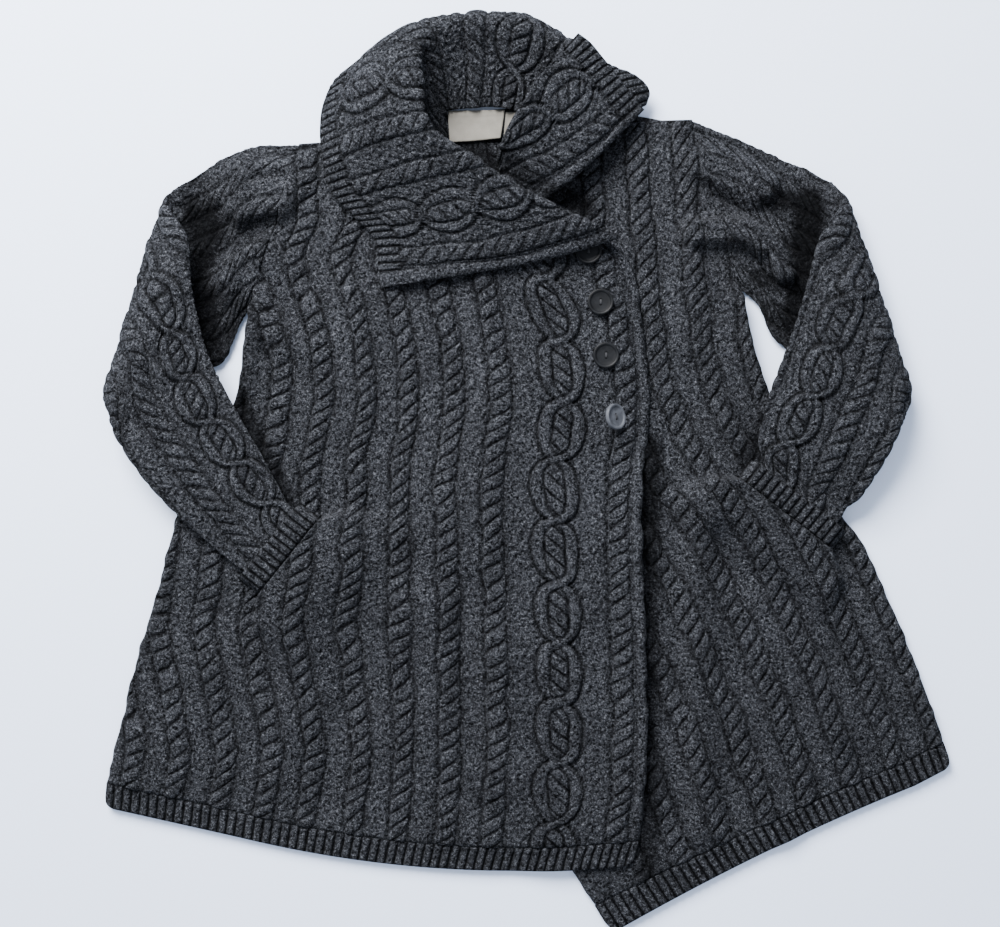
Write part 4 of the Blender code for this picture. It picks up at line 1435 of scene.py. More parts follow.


# The lower edges round mid_arm reach out into the gap beside the body, where the cloth gets painted shade:
# dark wool that stands in for part of the shadow on the table under the sleeve.
RIGHT_SLEEVE = (
    Section("armhole", (-212.2, 304), (-259.4, 148), 5.0),
    Section("upper_arm", (-246, 304), (-266, 137), 5.0),
    Section("mid_arm", (-279, 293), (-286, 99), 5.2),
    Section("turn_low", (-308, 275), (-346, 84), 6.4),
    Section("fold", (-331, 250), (-388, 64), 20.0),
    Section("turn_high", (-311, 216), (-380, 46), 34.0),
    Section("elbow", (-303, 158), (-370, 20), 32.0),
    Section("forearm", (-291, 109), (-351, -8), 28.5),
    Section("cuff_side", (-264, 54), (-323, -41), 23.0),
    Section("cuff", (-236, 3), (-292, -70), 18.5),
    Section("welt", (-215, -35), (-262, -94), 16.0),
    Section("slit", (-199, -52), (-243, -106), 14.6),
    Section("end", (-187, -74), (-226, -122), 12.6),
)
# The lower edges round mid_arm reach out into the gap beside the body, where the cloth gets painted shade:
# dark wool that stands in for part of the shadow on the table under the sleeve.
LEFT_SLEEVE = (
    Section("armhole", (151.2, 326.5), (195.4, 167), 5.0),
    Section("upper_arm", (191, 311), (212, 153), 5.0),
    Section("mid_arm", (232, 292), (229, 119), 5.2),
    Section("turn_low", (265, 277), (300, 84), 6.4),
    Section("fold", (287, 252), (349, 68), 20.0),
    Section("turn_high", (264, 217), (340, 46), 34.0),
    Section("elbow", (248, 158), (331, 24), 32.0),
    Section("forearm", (232, 109), (319, 0), 28.5),
    Section("cuff_side", (216, 64), (305, -22), 23.0),
    Section("cuff", (209, 30), (291, -38), 18.8),
    Section("welt", (213, 4), (284, -50), 16.8),
    Section("slit", (201, -11), (271, -64), 14.8),
    Section("end", (187, -40), (247, -88), 12.6),
)


@dataclass
class Sleeve:
    """A flattened tube that goes out from the armhole, turns over and comes back to the pocket."""

    name: str
    sections: tuple[Section, ...]
    puffs: tuple[Union[Fold, Tuck], ...]
    # painted shade: listed folds where the wool is drawn darker, as in shadow
    painted_shade_folds: tuple[Fold, ...]
    rings: int = 276
    half_cells: int = 88  # cells across one layer
    half_thick: float = 4.5  # half of the flattened tube
    puffed: float = 2.2  # how much fuller the sleeve is before it goes under the pocket's welt
    chain_across: float = -24.0  # the chain's place on the forearm, from its middle
    inset: float = 2.3  # from a section's ends to the edges of the cloth's middle
    inner_inset: float = 3.8  # from a section's ends to the edges of the tube's inside
    tucked: float = 1.4  # how far it starts under the front
    faint: float = 0.2  # how much its cables' drawn furrows fade
    layout: Layout = Layout((-126, -84, -42, 42, 84, 126), (0,), plain=0, chain=Chain(scale=0.86))
    upper_layout: Layout = Layout((-104, -62, -20, 22, 64, 106), plain=0, rope=Rope(crest=2.4))
    unevenness: Unevenness = Unevenness(seed=23, size=0.7, reach=50.0)
    swells: Unevenness = Unevenness(seed=29, size=1.0, reach=60.0)

    def edges(self) -> tuple[Array, Array, Array, Array]:
        """The sleeve's rings.

        Returns:
            Their places along it, both ends of each in space, and the number of its section.
        """
        parts = ("upper", "lower")
        ends = [np.array([(*getattr(s, part), s.height) for s in self.sections]) for part in parts]
        stops = chord_stops(ends)
        for line in ends:
            line[0] += self.tucked * unit(line[0] - line[1])
        places = np.linspace(0, stops[-1], self.rings + 1)
        section = np.interp(places, stops, np.arange(len(stops)))[:, None]
        return places, through(stops, ends[0], places), through(stops, ends[1], places), section

    def ring_layers(self) -> tuple[Array, Array]:
        """For each point round a ring, its share across and which layer it belongs to."""
        even = shares(self.half_cells)
        across = 0.45 * even + 0.55 * (0.5 - 0.5 * np.cos(pi * even))  # closer together at both edges
        layer = np.concatenate((-np.ones(len(across)), np.ones(len(across) - 2)))
        return np.concatenate((across, across[-2:0:-1])), layer

    def cloth_map(self, a: Array, b: Array, across: Array, section: Array) -> tuple[Array, Array]:
        """Distance across the cloth from the sleeve's middle line, and along it from the armhole."""
        middle, over = (a + b) / 2, b - a
        way, width = np.gradient(middle, axis=0), np.linalg.norm(over, axis=1)
        slant = (way * over).sum(-1) / np.linalg.norm(way, axis=1) / width
        smooth = np.convolve(np.pad(slant, 12, "edge"), np.full(25, 0.04), "valid")
        slant = np.clip(smooth, -0.75, 0.75)[:, None] * ease(2.8, 4.0, section)
        off = (across[None] - 0.5) * width[:, None]
        return off * np.sqrt(1.0 - slant**2), run_length(middle[:, None], 0) + off * slant

    def build(self) -> Piece:
        """Makes the sleeve's object."""
        places, a, b, section = self.edges()
        across, layer = self.ring_layers()
        over, width = (b - a)[:, None], np.linalg.norm(b - a, axis=1)[:, None]

        def between(inset: float) -> Array:
            """Points across each ring, from one inset edge to the other."""
            margin = inset / width
            return a[:, None] + over * (margin + across * (1 - 2 * margin))[..., None]

        middle = between(self.inset)
        normal = self.normals(a, b)[:, np.rint(across * NORMAL_CELLS).astype(int)]
        round_share = (1.0 - np.abs(2 * across - 1) ** 5) ** 0.5
        lobe = np.zeros_like(middle)
        raised = highest(self.puffs, middle[..., 0], middle[..., 1])
        lobe[..., 2] = raised * (layer > 0) * round_share * (1.0 - ease(1.9, 2.7, section))
        lateral, along = self.cloth_map(a, b, across, section)
        relief = self.relief(lateral, along, layer[None] < 0)
        # Painted shade on the upper arm's listed folds, less where a puff rises from them, and none on the
        # other layer or past the turn.
        dark = highest(self.painted_shade_folds, middle[..., 0], middle[..., 1]) * (1.0 - ease(3.0, 3.6, section))
        dark = dark * (1.0 - 0.6 * np.clip(raised / 12.0, 0.0, 1.0))
        relief.ribs[..., 2] = np.where(layer[None] < 0, 0.0, dark)
        side = layer[None, :, None]
        fuller = self.puffed * (1.0 - ease(7.5, 9.5, section)) * ease(2.8, 3.8, section)
        thick = (self.half_thick + fuller - self.inset) * round_share[None]
        ring = middle + normal * side * thick[..., None] + lobe
        round_step = np.roll(ring, -1, axis=1) - np.roll(ring, 1, axis=1)
        outward = unit(np.cross(np.gradient(ring, axis=0), round_step))
        if (outward * (ring - ring.mean(axis=1, keepdims=True))).sum() < 0:
            outward = -outward
        ends = rounded(places, 3.0) * rounded(places[-1] - places, 3.0)
        swells = np.maximum(self.swells.at(lateral, along), -0.3)
        rise = (relief.height - 0.2 + swells) * (0.5 + 0.5 * ends)[:, None] * (0.45 + 0.55 * round_share)
        rise = rise * (1.0 - 0.5 * bell(section - 4.0, 0.5))
        top = ring + outward * rise[..., None]
        top[..., 2] = np.maximum(top[..., 2], 0.25)
        inner = between(self.inner_inset) + normal * side * (0.45 * round_share)[None, :, None] + lobe
        return Shell(self.name, top, coarse(inner), relief, tube=True).build()

    def normals(self, a: Array, b: Array) -> Array:
        """Upward normals of the flat sheet between the sleeve's two edges."""
        share = shares(NORMAL_CELLS)[None, :, None]
        normals = grid_normals(a[:, None] + (b - a)[:, None] * share)
        return normals if normals[0, NORMAL_CELLS // 2, 2] > 0 else -normals

    def relief(self, lateral: Array, along: Array, below: Array) -> Relief:
        """The knitting: one layout on the layer that ends up on top, another on the other layer."""
        stray = self.unevenness.at(lateral, along)
        forearm = self.layout.field(lateral - self.chain_across + stray, along + stray)
        made = self.upper_layout.field(lateral + stray, along + stray, 0.0, -1.0)
        made.lay(below, forearm.height, forearm.furrow, forearm.wale, forearm.course)
        made.rope = np.where(below[..., None], forearm.rope, made.rope)
        made.chain = np.where(below[..., None], forearm.chain, made.chain)
        made.hide_cables(np.full(made.height.shape, self.faint))
        return made


# ---------------- collar


@dataclass(frozen=True)
class Roll:
    """A section of the collar, as the middle of its cloth, from the neck seam to its ribbed edge."""

    name: str
    seam: Point3
    rise: Point3
    crest: Point3
    fall: Point3
    edge: Point3


COLLAR_RIGHT = (
    Roll("front", (60, 226, 15.8), (76, 215, 19), (78, 211, 27), (0, 190, 23), (-136, 169, 15)),
    Roll("lapel_1", (36, 228, 16), (50, 224, 25), (51, 222, 36), (-30, 200, 27), (-139, 193, 14)),
    Roll("lapel_2", (6, 238, 16), (15, 239, 29), (17, 238, 42), (-60, 222, 29), (-143, 215, 14)),
    Roll("lapel_3", (-30, 253, 15.8), (-23, 257, 32), (-21, 259, 47), (-90, 246, 31), (-165, 238, 13)),
    Roll("lapel_4", (-56, 271, 14), (-60, 282, 34), (-59, 285, 51), (-118, 275, 36), (-183, 259, 12.5)),
    Roll("lobe_1", (-72, 291, 12.2), (-93, 306, 37), (-93, 310, 55), (-140, 302, 40), (-190, 288, 12)),
    Roll("lobe_2", (-77, 307, 9), (-97, 327, 39), (-99, 333, 57), (-146, 327, 44), (-193, 315, 8)),
    Roll("lobe_3", (-79, 319, 8), (-97, 349, 38), (-102, 357, 56), (-145, 353, 43), (-190, 342, 4)),
    Roll("lobe_4", (-78, 328, 8), (-93, 370, 37), (-101, 380, 52), (-134, 382, 40), (-176, 366, 4)),
    Roll("turn", (-75, 333, 8), (-82, 377, 33), (-93, 398, 45), (-113, 403, 30), (-140, 384, 4)),
    Roll("back_1", (-65, 335, 8), (-68, 379, 27), (-73, 405, 40), (-80, 413, 22), (-92, 388, 3)),
    Roll("back_2", (-52, 336, 8), (-51, 380, 26), (-51, 408, 38), (-51, 417, 19), (-52, 386, 2.8)),
    Roll("back_3", (-34, 337, 8), (-30, 380, 25), (-26, 408, 37), (-26, 417, 19), (-28, 386, 2.8)),
    Roll("back_4", (-17, 335, 8), (-7, 377, 24), (1, 403, 36), (3, 412, 18), (-2, 384, 3)),
    Roll("back_5", (-4, 329, 8), (12, 366, 22), (26, 390, 33), (32, 398, 18), (24, 376, 4)),
    Roll("back_6", (5, 320, 8), (28, 351, 20), (46, 378, 29), (57, 382, 16), (48, 364, 5)),
    Roll("back_7", (12, 308, 8), (44, 337, 18), (66, 356, 28), (80, 365, 25), (91, 366, 18)),
    Roll("back_end", (20, 297, 8), (58, 324, 16), (84, 338, 24), (99, 344, 22), (111, 349, 16)),
    Roll("back_tip", (26, 289, 8), (66, 312, 14), (90, 324, 21), (100, 332, 18), (108, 337, 14)),
)
COLLAR_LEFT = (
    Roll("front", (34, 252, 12), (22, 244, 18), (14, 247, 25), (53, 277, 31), (105, 330, 25)),
    Roll("end_1", (34, 258, 12), (-2, 258, 22), (-22, 268, 33), (38, 298, 38), (92, 345, 28)),
    Roll("end_2", (38, 270, 12), (-10, 278, 28), (-25, 287, 42), (28, 320, 42), (79, 361, 31)),
    Roll("end_3", (48, 284, 12), (-10, 300, 34), (-17, 307, 49), (24, 343, 45), (66, 376, 34)),
    Roll("end_4", (55, 298, 12), (0, 319, 38), (-5, 329, 52), (24, 358, 46), (55, 388, 37)),
    Roll("end_5", (61, 307, 12), (11, 340, 38), (8, 352, 50), (26, 374, 44), (44, 396, 38)),
)
# Painted shade: the left collar drawn darker near the lapel, where the lapel shades it.
LEFT_COLLAR_PAINTED_SHADE_FOLDS = (Fold((-34, 284), (46, 232), 17, 0.62, 8),)


@dataclass
class Collar:
    """Part of the collar: a wall that stands at the neck, rolls over and ends in a ribbed edge."""

    name: str
    sections: tuple[Roll, ...]
    long_cells: int
    wide_cells: int = 108
    layout: Layout = Layout(
        (22.0, 104.0, 147.0, 229.0, 272.0, 354.0, 397.0, 440.0),
        (63.0, 188.0, 313.0),
        rope=Rope(crest=2.4, scale=0.92),
        chain=Chain(rise=2.5, scale=0.92),
    )
    ribbing: Ribbing = Ribbing(pitch=7.5, rise=2.0)
    rib_width: float = 22.0
    turned: float = 2.0  # the share of its length whose outside shows
    # painted shade: listed folds where the wool is drawn darker, as in shadow
    painted_shade_folds: tuple[Fold, ...] = ()
    unevenness: Unevenness = Unevenness(seed=31, size=0.7, reach=45.0)
    outside: float = 0.72  # share across where its length is measured on the side turned out
    inside: float = 0.34  # the same on the side that faces the neck

    def sheet(self) -> Array:
        """The middle surface, a line from seam to edge for each place along the collar."""
        lines = columns(self.sections, "seam", "rise", "crest", "fall", "edge")
        stops = chord_stops(lines)
        places = np.linspace(0, stops[-1], self.long_cells + 1)
        profiles = np.stack([through(stops, line, places) for line in lines], axis=1)
        across = np.linspace(0, 4, self.wide_cells + 1)
        return np.array([through(np.arange(5.0), profile, across) for profile in profiles])

    def cloth_map(self, sheet: Array) -> tuple[Array, Array]:
        """Distance along the collar, and up it, as the cloth lay before it was turned."""
        share = shares(self.long_cells)[1:, None]
        steps = []
        for part in (self.outside, self.inside):
            column = int(part * self.wide_cells)
            step = np.diff(sheet[:, column], axis=0)
            way = unit(sheet[:, column + 1] - sheet[:, column - 1])[1:]
            slip = (step * way).sum(-1, keepdims=True)
            steps.append(np.concatenate((np.linalg.norm(step - slip * way, axis=1, keepdims=True), slip), 1))
        inside = ease(self.turned - 0.06, self.turned + 0.06, share)
        walked = np.cumsum(steps[0] * (1 - inside) + steps[1] * inside, axis=0)
        run = np.concatenate((np.zeros((1, 2)), walked))
        from_seam = run_length(sheet, 1)
        along = from_seam[:, int(self.outside * self.wide_cells), None] - from_seam - run[:, 1:]
        return np.broadcast_to(run[:, :1], along.shape), along

    def build(self) -> Piece:
        """Makes the collar's object, with its cables on the side that shows."""
        sheet = self.sheet()
        normals = grid_normals(sheet)
        crest = self.wide_cells // 2
        if normals[:, crest, 2].mean() < 0:
            normals = -normals
        reach = Reach.over(sheet)
        to_edge = reach.edge
        straight, along = self.cloth_map(sheet)
        stray = self.unevenness.at(straight, to_edge)
        relief = self.layout.field(np.maximum(straight + stray, 0.0), along + stray, 0.0, -1.0)
        place = np.broadcast_to(reach.foot[:, -1:] / self.ribbing.pitch, to_edge.shape)
        ribs = self.ribbing.field(place, to_edge)
        ribbed = (to_edge < self.rib_width) & (straight > 9.0)
        seam = bell(to_edge - self.rib_width, 1.3)
        relief.lay(ribbed, ribs.height, ribs.furrow, ribs.wale, ribs.course)
        relief.hide_cables(np.where(ribbed, 1.0, 0.3))
        relief.ribs = ribs.ribs * ribbed[..., None]
        relief.ribs[..., 0] = ribs.ribs[..., 0]
        # Painted shade in the listed folds.
        relief.ribs[..., 2] = highest(self.painted_shade_folds, sheet[..., 0], sheet[..., 1])
        relief.height = relief.height - 0.9 * seam
        relief.furrow = np.maximum(relief.furrow, 0.8 * seam)
        full = rounded(reach.foot, 4.0) * rounded(reach.top, 4.0) * rounded(to_edge, 3.0)
        top = sheet + normals * ((relief.height + 0.4) * full + 0.2)[..., None]
        under = sheet - normals * (1.6 * full + 0.2)[..., None]
        return Shell(self.name, top, coarse(under), relief).build()


# ---------------- pocket welts


@dataclass
class Welt:
    """A ribbed band that stands on a slit's raised lip and lies over the sleeve."""

    name: str
    pocket: Pocket
    width: float
    end_low: float  # height of its underside at the slit's two ends
    slit_low: float  # the same along the slit
    free_low: float  # the same along its free edge
    inset: float = 4.0  # how far it ends short of the slit
    start: float = 0.25  # gap between the slit and its sewn edge
    cells: int = 16
    body: float = 1.9
    ribbing: Ribbing = Ribbing(pitch=7.5, rise=2.2)

    def build(self) -> Piece:
        """Makes the welt's object."""
        foot, head = np.array(self.pocket.foot, float), np.array(self.pocket.head, float)
        length = float(np.linalg.norm(head - foot))
        run = (head - foot) / length
        outward = np.array((-run[1], run[0])) * self.pocket.side
        count = self.ribbing.count(length - 2 * self.inset)
        share, across = shares(count), shares(self.cells)
        start, end = foot + run * self.inset, head - run * self.inset
        out = self.start + (self.width - self.start) * across
        flat = start + (end - start) * share[None, :, None] + outward * out[:, None, None]
        x, y = flat[..., 0], flat[..., 1]
        rise = ease(0.0, 0.1, np.minimum(share, 1 - share))[None]
        high = (self.slit_low + (self.free_low - self.slit_low) * across)[:, None]
        base = self.end_low + (high - self.end_low) * rise
        place = np.broadcast_to(np.arange(count + 1)[None] / self.ribbing.cells, x.shape)
        reach = Reach.over(flat)
        relief = self.ribbing.field(place, reach.foot)
        full = rounded(reach.side, 3.5) * rounded(reach.edge, 3.5)
        full = full * rounded(reach.foot, 3.0) * rounded(reach.top, 3.0)
        return sheet_shell(self.name, x, y, base + 0.5 + (self.body + relief.height) * full, base, relief)


# ---------------- buttons and labels


def join_rings(work: bmesh.types.BMesh, rings: Sequence[Sequence[bmesh.types.BMVert]]) -> None:
    """Adds the faces between rings of vertices, and a cap at each end."""
    for low, high in zip(rings, rings[1:]):
        for side in range(len(low)):
            after = (side + 1) % len(low)
            work.faces.new((low[side], low[after], high[after], high[side]))
    work.faces.new(rings[0][::-1])
    work.faces.new(rings[-1])


def strand(work: bmesh.types.BMesh, path: Sequence[Vector], radius: float, sides: int = 8) -> None:
    """Adds a round strand along a path, closed at both ends."""
    rings = []
    for place, spot in enumerate(path):
        turn = (path[min(place + 1, len(path) - 1)] - path[max(place - 1, 0)]).to_track_quat("Z", "Y")
        angles = [2 * pi * side / sides for side in range(sides)]
        offsets = [turn @ Vector((radius * cos(angle), radius * sin(angle), 0.0)) for angle in angles]
        rings.append([work.verts.new((spot + offset) * MM) for offset in offsets])
    join_rings(work, rings)


def finished(work: bmesh.types.BMesh, name: str) -> Piece:
    """Turns built faces into an object in the scene."""
    bmesh.ops.recalc_face_normals(work, faces=work.faces)
    mesh = bpy.data.meshes.new(name)
    work.to_mesh(mesh)
    work.free()
    return linked(name, mesh)


@dataclass
class Button:
    """A turned button with a raised rim and two holes, and the thread that holds it."""

    number: int
    x: float
    y: float
    lift: float = 0.4  # how far its underside stays above the cloth
    tip: float = 0.0  # degrees that it leans
    towards: float = 0.0  # the way it leans to, in degrees round from the wearer's left
    radius: float = 12.0
    thick: float = 4.0
    rim: float = 2.6  # width of its rim
    dish: float = 1.2  # depth of its dish
    hole: float = 1.2  # radius of a hole
    apart: float = 4.4  # from one hole's middle to the other's
    under_round: float = 1.4
    over_round: float = 1.0
    crease: float = 38.0  # degrees between two faces that meet in a sharp line
    sides: int = 72
    strands: int = 4
    strand: float = 0.30  # radius of a strand
    shank: float = 1.5  # radius of the shank

    def settle(self, made: Piece) -> Piece:
        """Moves a piece made about the origin to where the button lies, and shades it smooth."""
        x, y = np.array([float(self.x)]), np.array([float(self.y)])
        top = float(right_low(x, y, np.array([True]))[0]) + CLOTH
        spot = Vector((self.x - ORIGIN[0], self.y - ORIGIN[1], top + self.lift)) * MM
        turn = Matrix.Rotation(radians(self.towards), 4, "Z") @ Matrix.Rotation(radians(self.tip), 4, "Y")
        made.data.transform(Matrix.Translation(spot) @ turn)
        made.data.shade_smooth()
        return made

    def profile(self) -> list[Point]:
        """Radius and height round the button's section, from its underside to its face."""
        quarter = [(sin(a), cos(a)) for a in np.linspace(0, pi / 2, 6)]
        under, over = self.under_round, self.over_round
        edge = [(self.radius - under + under * s, under - under * c) for s, c in quarter]
        shoulder = [(self.radius - over + over * c, self.thick - over + over * s) for s, c in quarter]
        inner, floor = self.radius - self.rim, self.thick - self.dish
        slope = [(inner + 0.35, self.thick - 0.12), (inner, self.thick - 0.45), (inner - 0.5, floor + 0.15)]
        bowl = [(inner - 1.2, floor), (inner * 0.55, floor - 0.12)]
        return [(self.radius * 0.5, 0.0), *edge, *shoulder, *slope, *bowl]

    def build(self) -> Piece:
        """Makes the button's object."""
        work = bmesh.new()
        turns = [2 * pi * side / self.sides for side in range(self.sides)]
        rings = [
            [work.verts.new((radius * cos(t) * MM, radius * sin(t) * MM, height * MM)) for t in turns]
            for radius, height in self.profile()
        ]
        join_rings(work, rings)
        made = finished(work, f"coat_button_{self.number}")
        drills = [self.drill(side) for side in (-1, 1)]
        for drill in drills:
            cut = made.modifiers.new(drill.name, "BOOLEAN")
            cut.object, cut.operation, cut.solver = drill, "DIFFERENCE", "EXACT"
        graph = bpy.context.evaluated_depsgraph_get()
        cut_mesh = bpy.data.meshes.new_from_object(made.evaluated_get(graph))
        made.modifiers.clear()
        made.data = cut_mesh
        for drill in drills:
            bpy.data.objects.remove(drill)
        self.settle(made).data.set_sharp_from_angle(angle=radians(self.crease))
        return made

    def drill(self, side: int) -> Piece:
        """A thin cylinder where one hole goes through."""
        work = bmesh.new()
        bmesh.ops.create_cone(
            work,
            cap_ends=True,
            segments=24,
            radius1=self.hole * MM,
            radius2=self.hole * MM,
            depth=3 * self.thick * MM,
            matrix=Matrix.Translation((0.0, side * self.apart / 2 * MM, self.thick / 2 * MM)),
        )
        return finished(work, f"drill_{self.number}_{side}")

    def thread(self) -> Piece:
        """The strands from hole to hole and the shank that they make below."""
        work = bmesh.new()
        face = self.thick - self.dish
        for number in range(self.strands):
            side = (number - (self.strands - 1) / 2) * 1.4 * self.strand
            path = []
            for t in shares(12):
                bow = sin(pi * t)
                sunk = 1.6 if t in (0, 1) else 0.0
                place = (side * (0.6 + 0.4 * bow), (t - 0.5) * (self.apart + 0.5), face + 0.55 * bow - sunk)
                path.append(Vector(place))
            strand(work, path, self.strand)
        strand(work, [Vector((0.0, 0.0, 0.4 - 0.25 * s)) for s in range(9)], self.shank)
        return self.settle(finished(work, f"button_thread_{self.number}"))


@dataclass
class Label:
    """A blank woven tab on the inside of the back, with its foot curled up."""

    name: str
    foot_left: Point
    foot_right: Point
    head_right: Point
    head_left: Point
    raised: float  # how far its foot curls up
    cloth: float = 0.7
    cells: tuple[int, int] = (24, 48)  # down and across

    def build(self) -> Piece:
        """Makes the tab's object."""
        down, wide = np.meshgrid(shares(self.cells[0]), shares(self.cells[1]), indexing="ij")
        ends = ((self.foot_left, self.foot_right), (self.head_left, self.head_right))
        foot, head = (np.array(a) + np.subtract(b, a) * wide[..., None] for a, b in ends)
        flat = foot + (head - foot) * down[..., None]
        x, y = flat[..., 0], flat[..., 1]
        lift = self.raised * (1 - ease(0.0, 0.6, down))
        ripple = 0.55 * self.raised * np.sin(wide * 8.0 + 0.6 + 1.7 * down) * (1 - down) ** 1.2
        low = BACK_TOP + SEAM + lift + np.maximum(ripple, -0.3)
        selvedge = 0.25 * bell(np.minimum(wide, 1 - wide) - 0.03, 0.02)
        turned = 0.35 * (down > 0.8)
        plain = Relief.plain(np.zeros_like(x), x, y)
        return sheet_shell(self.name, x, y, low + self.cloth + selvedge + turned, low, plain)


# ---------------- the stage


@dataclass
class Studio:
    """The table, the lights and the camera."""

    eye: tuple[float, float, float] = (-0.02625, 0.0110, 1.292)
    lens: float = 50.01
    sensor: float = 36.0
    floor_half: float = 6.0
    floor: float = -0.0004  # the table top, just below the coat

    def table(self) -> Piece:
        """A flat pale table top."""
        half, mesh = self.floor_half, bpy.data.meshes.new("table_top")
        corners = [(x * half, y * half, self.floor) for x, y in ((-1, -1), (1, -1), (1, 1), (-1, 1))]
        mesh.from_pydata(corners, [], [(0, 1, 2, 3)])
        made = linked("table_top", mesh)
        return made

    def lamp(self, name: str, spot: Point3, size: float, watts: float, colour: Colour) -> None:
        """A soft square lamp that faces the coat."""
        light = bpy.data.lights.new(name, "AREA")
        light.shape, light.size, light.energy, light.color = "SQUARE", size, watts, colour
        made = linked(name, light)
        made.location = spot
        made.rotation_euler = (-Vector(spot)).to_track_quat("-Z", "Y").to_euler()

    def sky(self, colour: Colour, strength: float) -> None:
        """An even pale light from all round."""
        world = bpy.data.worlds.new("pale_room")
        world.use_nodes = True
        ground = world.node_tree.nodes["Background"]
        ground.inputs["Color"].default_value = (*colour, 1.0)
        ground.inputs["Strength"].default_value = strength
        bpy.context.scene.world = world

    def camera(self) -> None:
        """The camera, which looks straight down."""
        data = bpy.data.cameras.new("camera")
        data.lens, data.sensor_width = self.lens, self.sensor
        data.clip_start, data.clip_end = 0.01, 50.0
        made = linked("camera", data)
        made.location = self.eye
        bpy.context.scene.camera = made

    def build(self) -> None:
        """Sets up the whole stage."""
        self.camera()
        dress(self.table(), Finish.TABLE)
        self.sky((0.86, 0.93, 1.06), 1.12)
        self.lamp("window", (-0.80, 1.50, 1.45), 1.2, 250.0, (1.0, 0.99, 0.99))


# ---------------- the coat


@dataclass(frozen=True)
class Cut:
    """The flat size of a piece's cloth, in metres, and its area where it isn't a rectangle."""

    width: float
    length: float
    area: Optional[float] = None
    held: str = "laid"
    rests_on: tuple[str, ...] = ()


def declare(piece: Piece, node: str, finish: Finish, cut: Optional[Cut] = None) -> None:
    """Dresses a piece, hangs it under the root and hides the solid that it replaces.

    Args:
        piece: the built object.
        node: the solid that it replaces, or an empty name.
        finish: what the piece is made of.
        cut: its flat cloth, or None for a rigid piece; not used.
    """
    dress(piece, finish)
    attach(piece, "root")
    if node:
        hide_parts(node)
    if cut is not None:
        flat, rests_on = (cut.width, cut.length), list(cut.rests_on)
        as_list(rests_on)
    LOG.info("%s: %d faces", piece.name, len(piece.data.polygons))


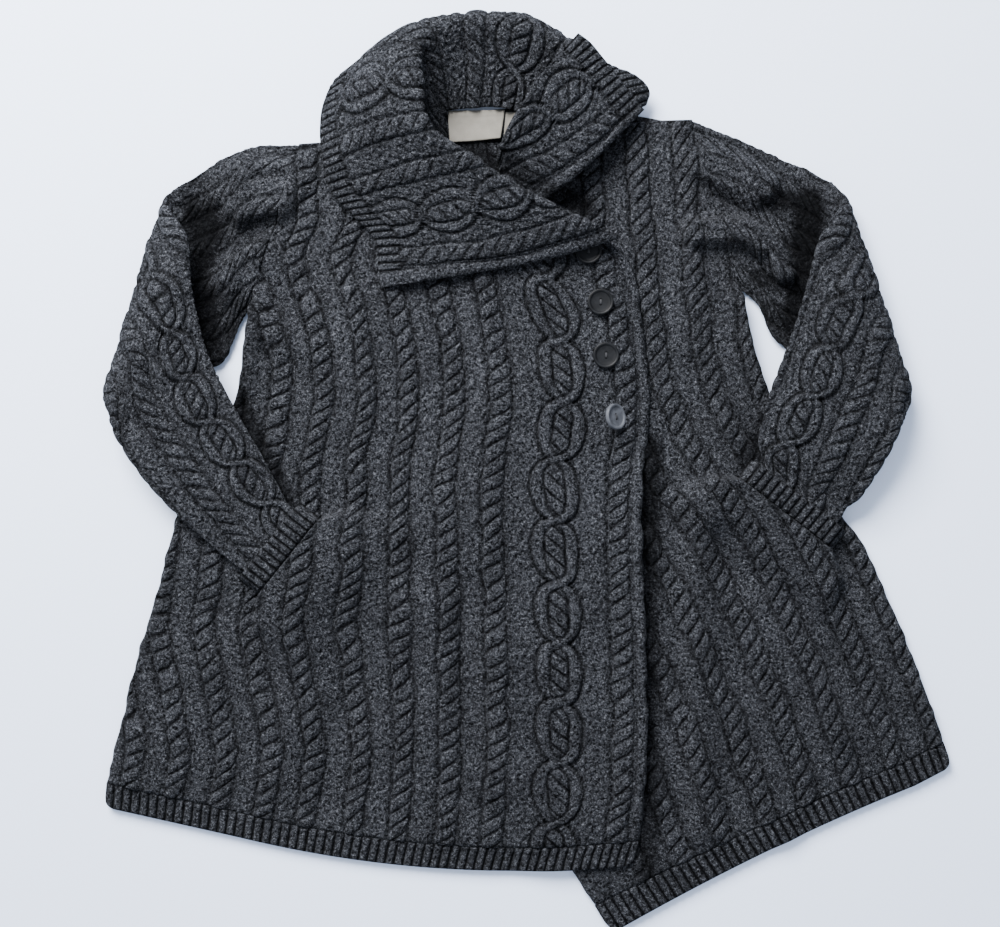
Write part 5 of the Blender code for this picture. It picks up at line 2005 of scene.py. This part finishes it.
def build_cloth() -> None:
    """Makes the knitted pieces."""
    right = Panel(
        name="front_right_knit",
        rows=RIGHT_ROWS,
        band=RIGHT_BAND,
        low=right_low,
        side_cells=64,
        centre_cells=224,
        row_cells=(92, 40, 160),
        sway=right_sway,
        lifted=11.0,
        painted_shade_folds=RIGHT_PAINTED_SHADE_FOLDS,
    )
    left = Panel(
        name="front_left_knit",
        rows=LEFT_ROWS,
        band=LEFT_BAND,
        low=left_low,
        side_cells=28,
        centre_cells=168,
        row_cells=(112, 44, 164),
        layout=LEFT_LAYOUT,
        hand=-1.0,
        covered=True,
        painted_shade_folds=LEFT_PAINTED_SHADE_FOLDS,
    )
    back = Back().build()
    back_band = rib_band("hem_back_rib", BACK_ROWS[0], BACK_BAND, left_low, Ribbing(), below=True)
    right_sleeve = Sleeve("sleeve_right_knit", RIGHT_SLEEVE, RIGHT_PUFFS, RIGHT_PAINTED_SHADE_FOLDS)
    left_sleeve = Sleeve("sleeve_left_knit", LEFT_SLEEVE, LEFT_PUFFS, LEFT_PAINTED_SHADE_FOLDS)
    right_collar = Collar("collar_right_knit", COLLAR_RIGHT, long_cells=372, turned=0.48)
    left_collar = Collar("collar_left_knit", COLLAR_LEFT, long_cells=92, painted_shade_folds=LEFT_COLLAR_PAINTED_SHADE_FOLDS)
    right_welt = Welt("welt_right_rib", RIGHT_POCKET, width=23, end_low=9.6, slit_low=20.4, free_low=21.8)
    left_welt = Welt("welt_left_rib", LEFT_POCKET, width=21, end_low=11.6, slit_low=20.6, free_low=23.4)
    floor, hem, fronts = "table_top", "hem_back_rib", ("front_right_knit", "front_left_knit")
    for piece, node, cut in (
        (back, "back_panel", Cut(0.80, 0.62, 0.36, rests_on=(floor,))),
        (back_band, "hem_back", Cut(0.80, 0.024, rests_on=(floor,))),
        (left.build(), "front_left", Cut(0.42, 0.74, 0.22, rests_on=("back_knit",))),
        (left.build_band("hem_front_left_rib"), "hem_front_left", Cut(0.36, 0.027, rests_on=(hem,))),
        (right.build(), "front_right", Cut(0.52, 0.65, 0.28, rests_on=("back_knit", fronts[1]))),
        (right.build_band("hem_front_right_rib"), "hem_front_right", Cut(0.50, 0.024, rests_on=(hem,))),
        (right_sleeve.build(), "sleeve_right", Cut(0.35, 0.55, 0.15, "folded", (floor, fronts[0]))),
        (left_sleeve.build(), "sleeve_left", Cut(0.35, 0.55, 0.15, "folded", (floor, fronts[1]))),
        (right_collar.build(), "collar_right", Cut(0.48, 0.19, 0.085, "folded", fronts[:1])),
        (left_collar.build(), "collar_left", Cut(0.12, 0.17, 0.014, "folded", fronts[1:])),
        (right_welt.build(), "pocket_welt_right", Cut(0.092, 0.023)),
        (left_welt.build(), "pocket_welt_left", Cut(0.112, 0.021)),
    ):
        declare(piece, node, Finish.WOOL, cut)


def build_trims() -> None:
    """Makes the buttons, their threads and the labels."""
    for button, horn in (
        (Button(1, 55, 203), Finish.HORN),
        (Button(2, 66, 156), Finish.HORN),
        (Button(3, 71, 107), Finish.HORN),
        (Button(4, 78, 50, lift=7.2, tip=42, towards=9), Finish.PALE_HORN),
    ):
        declare(button.build(), f"button_{button.number}", horn)
        declare(button.thread(), "", Finish.THREAD)
    neck = Label("neck_tape", (-73, 304), (-26, 308), (-22, 335), (-75, 334), 2.5)
    size = Label("size_tape", (-23, 311), (-20, 311), (-9, 333), (-21, 333), 1.0)
    for label, node, cut in (
        (neck, "neck_label", Cut(0.051, 0.026)),
        (size, "size_label", Cut(0.012, 0.019, 0.00013)),
    ):
        declare(label.build(), node, Finish.TAPE, cut)


def main() -> None:
    """Builds the scene."""
    logging.basicConfig(level=logging.INFO, format="%(name)s: %(message)s")
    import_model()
    Studio().build()
    build_cloth()
    build_trims()
    bpy.context.view_layer.update()


if __name__ == "__main__":
    main()
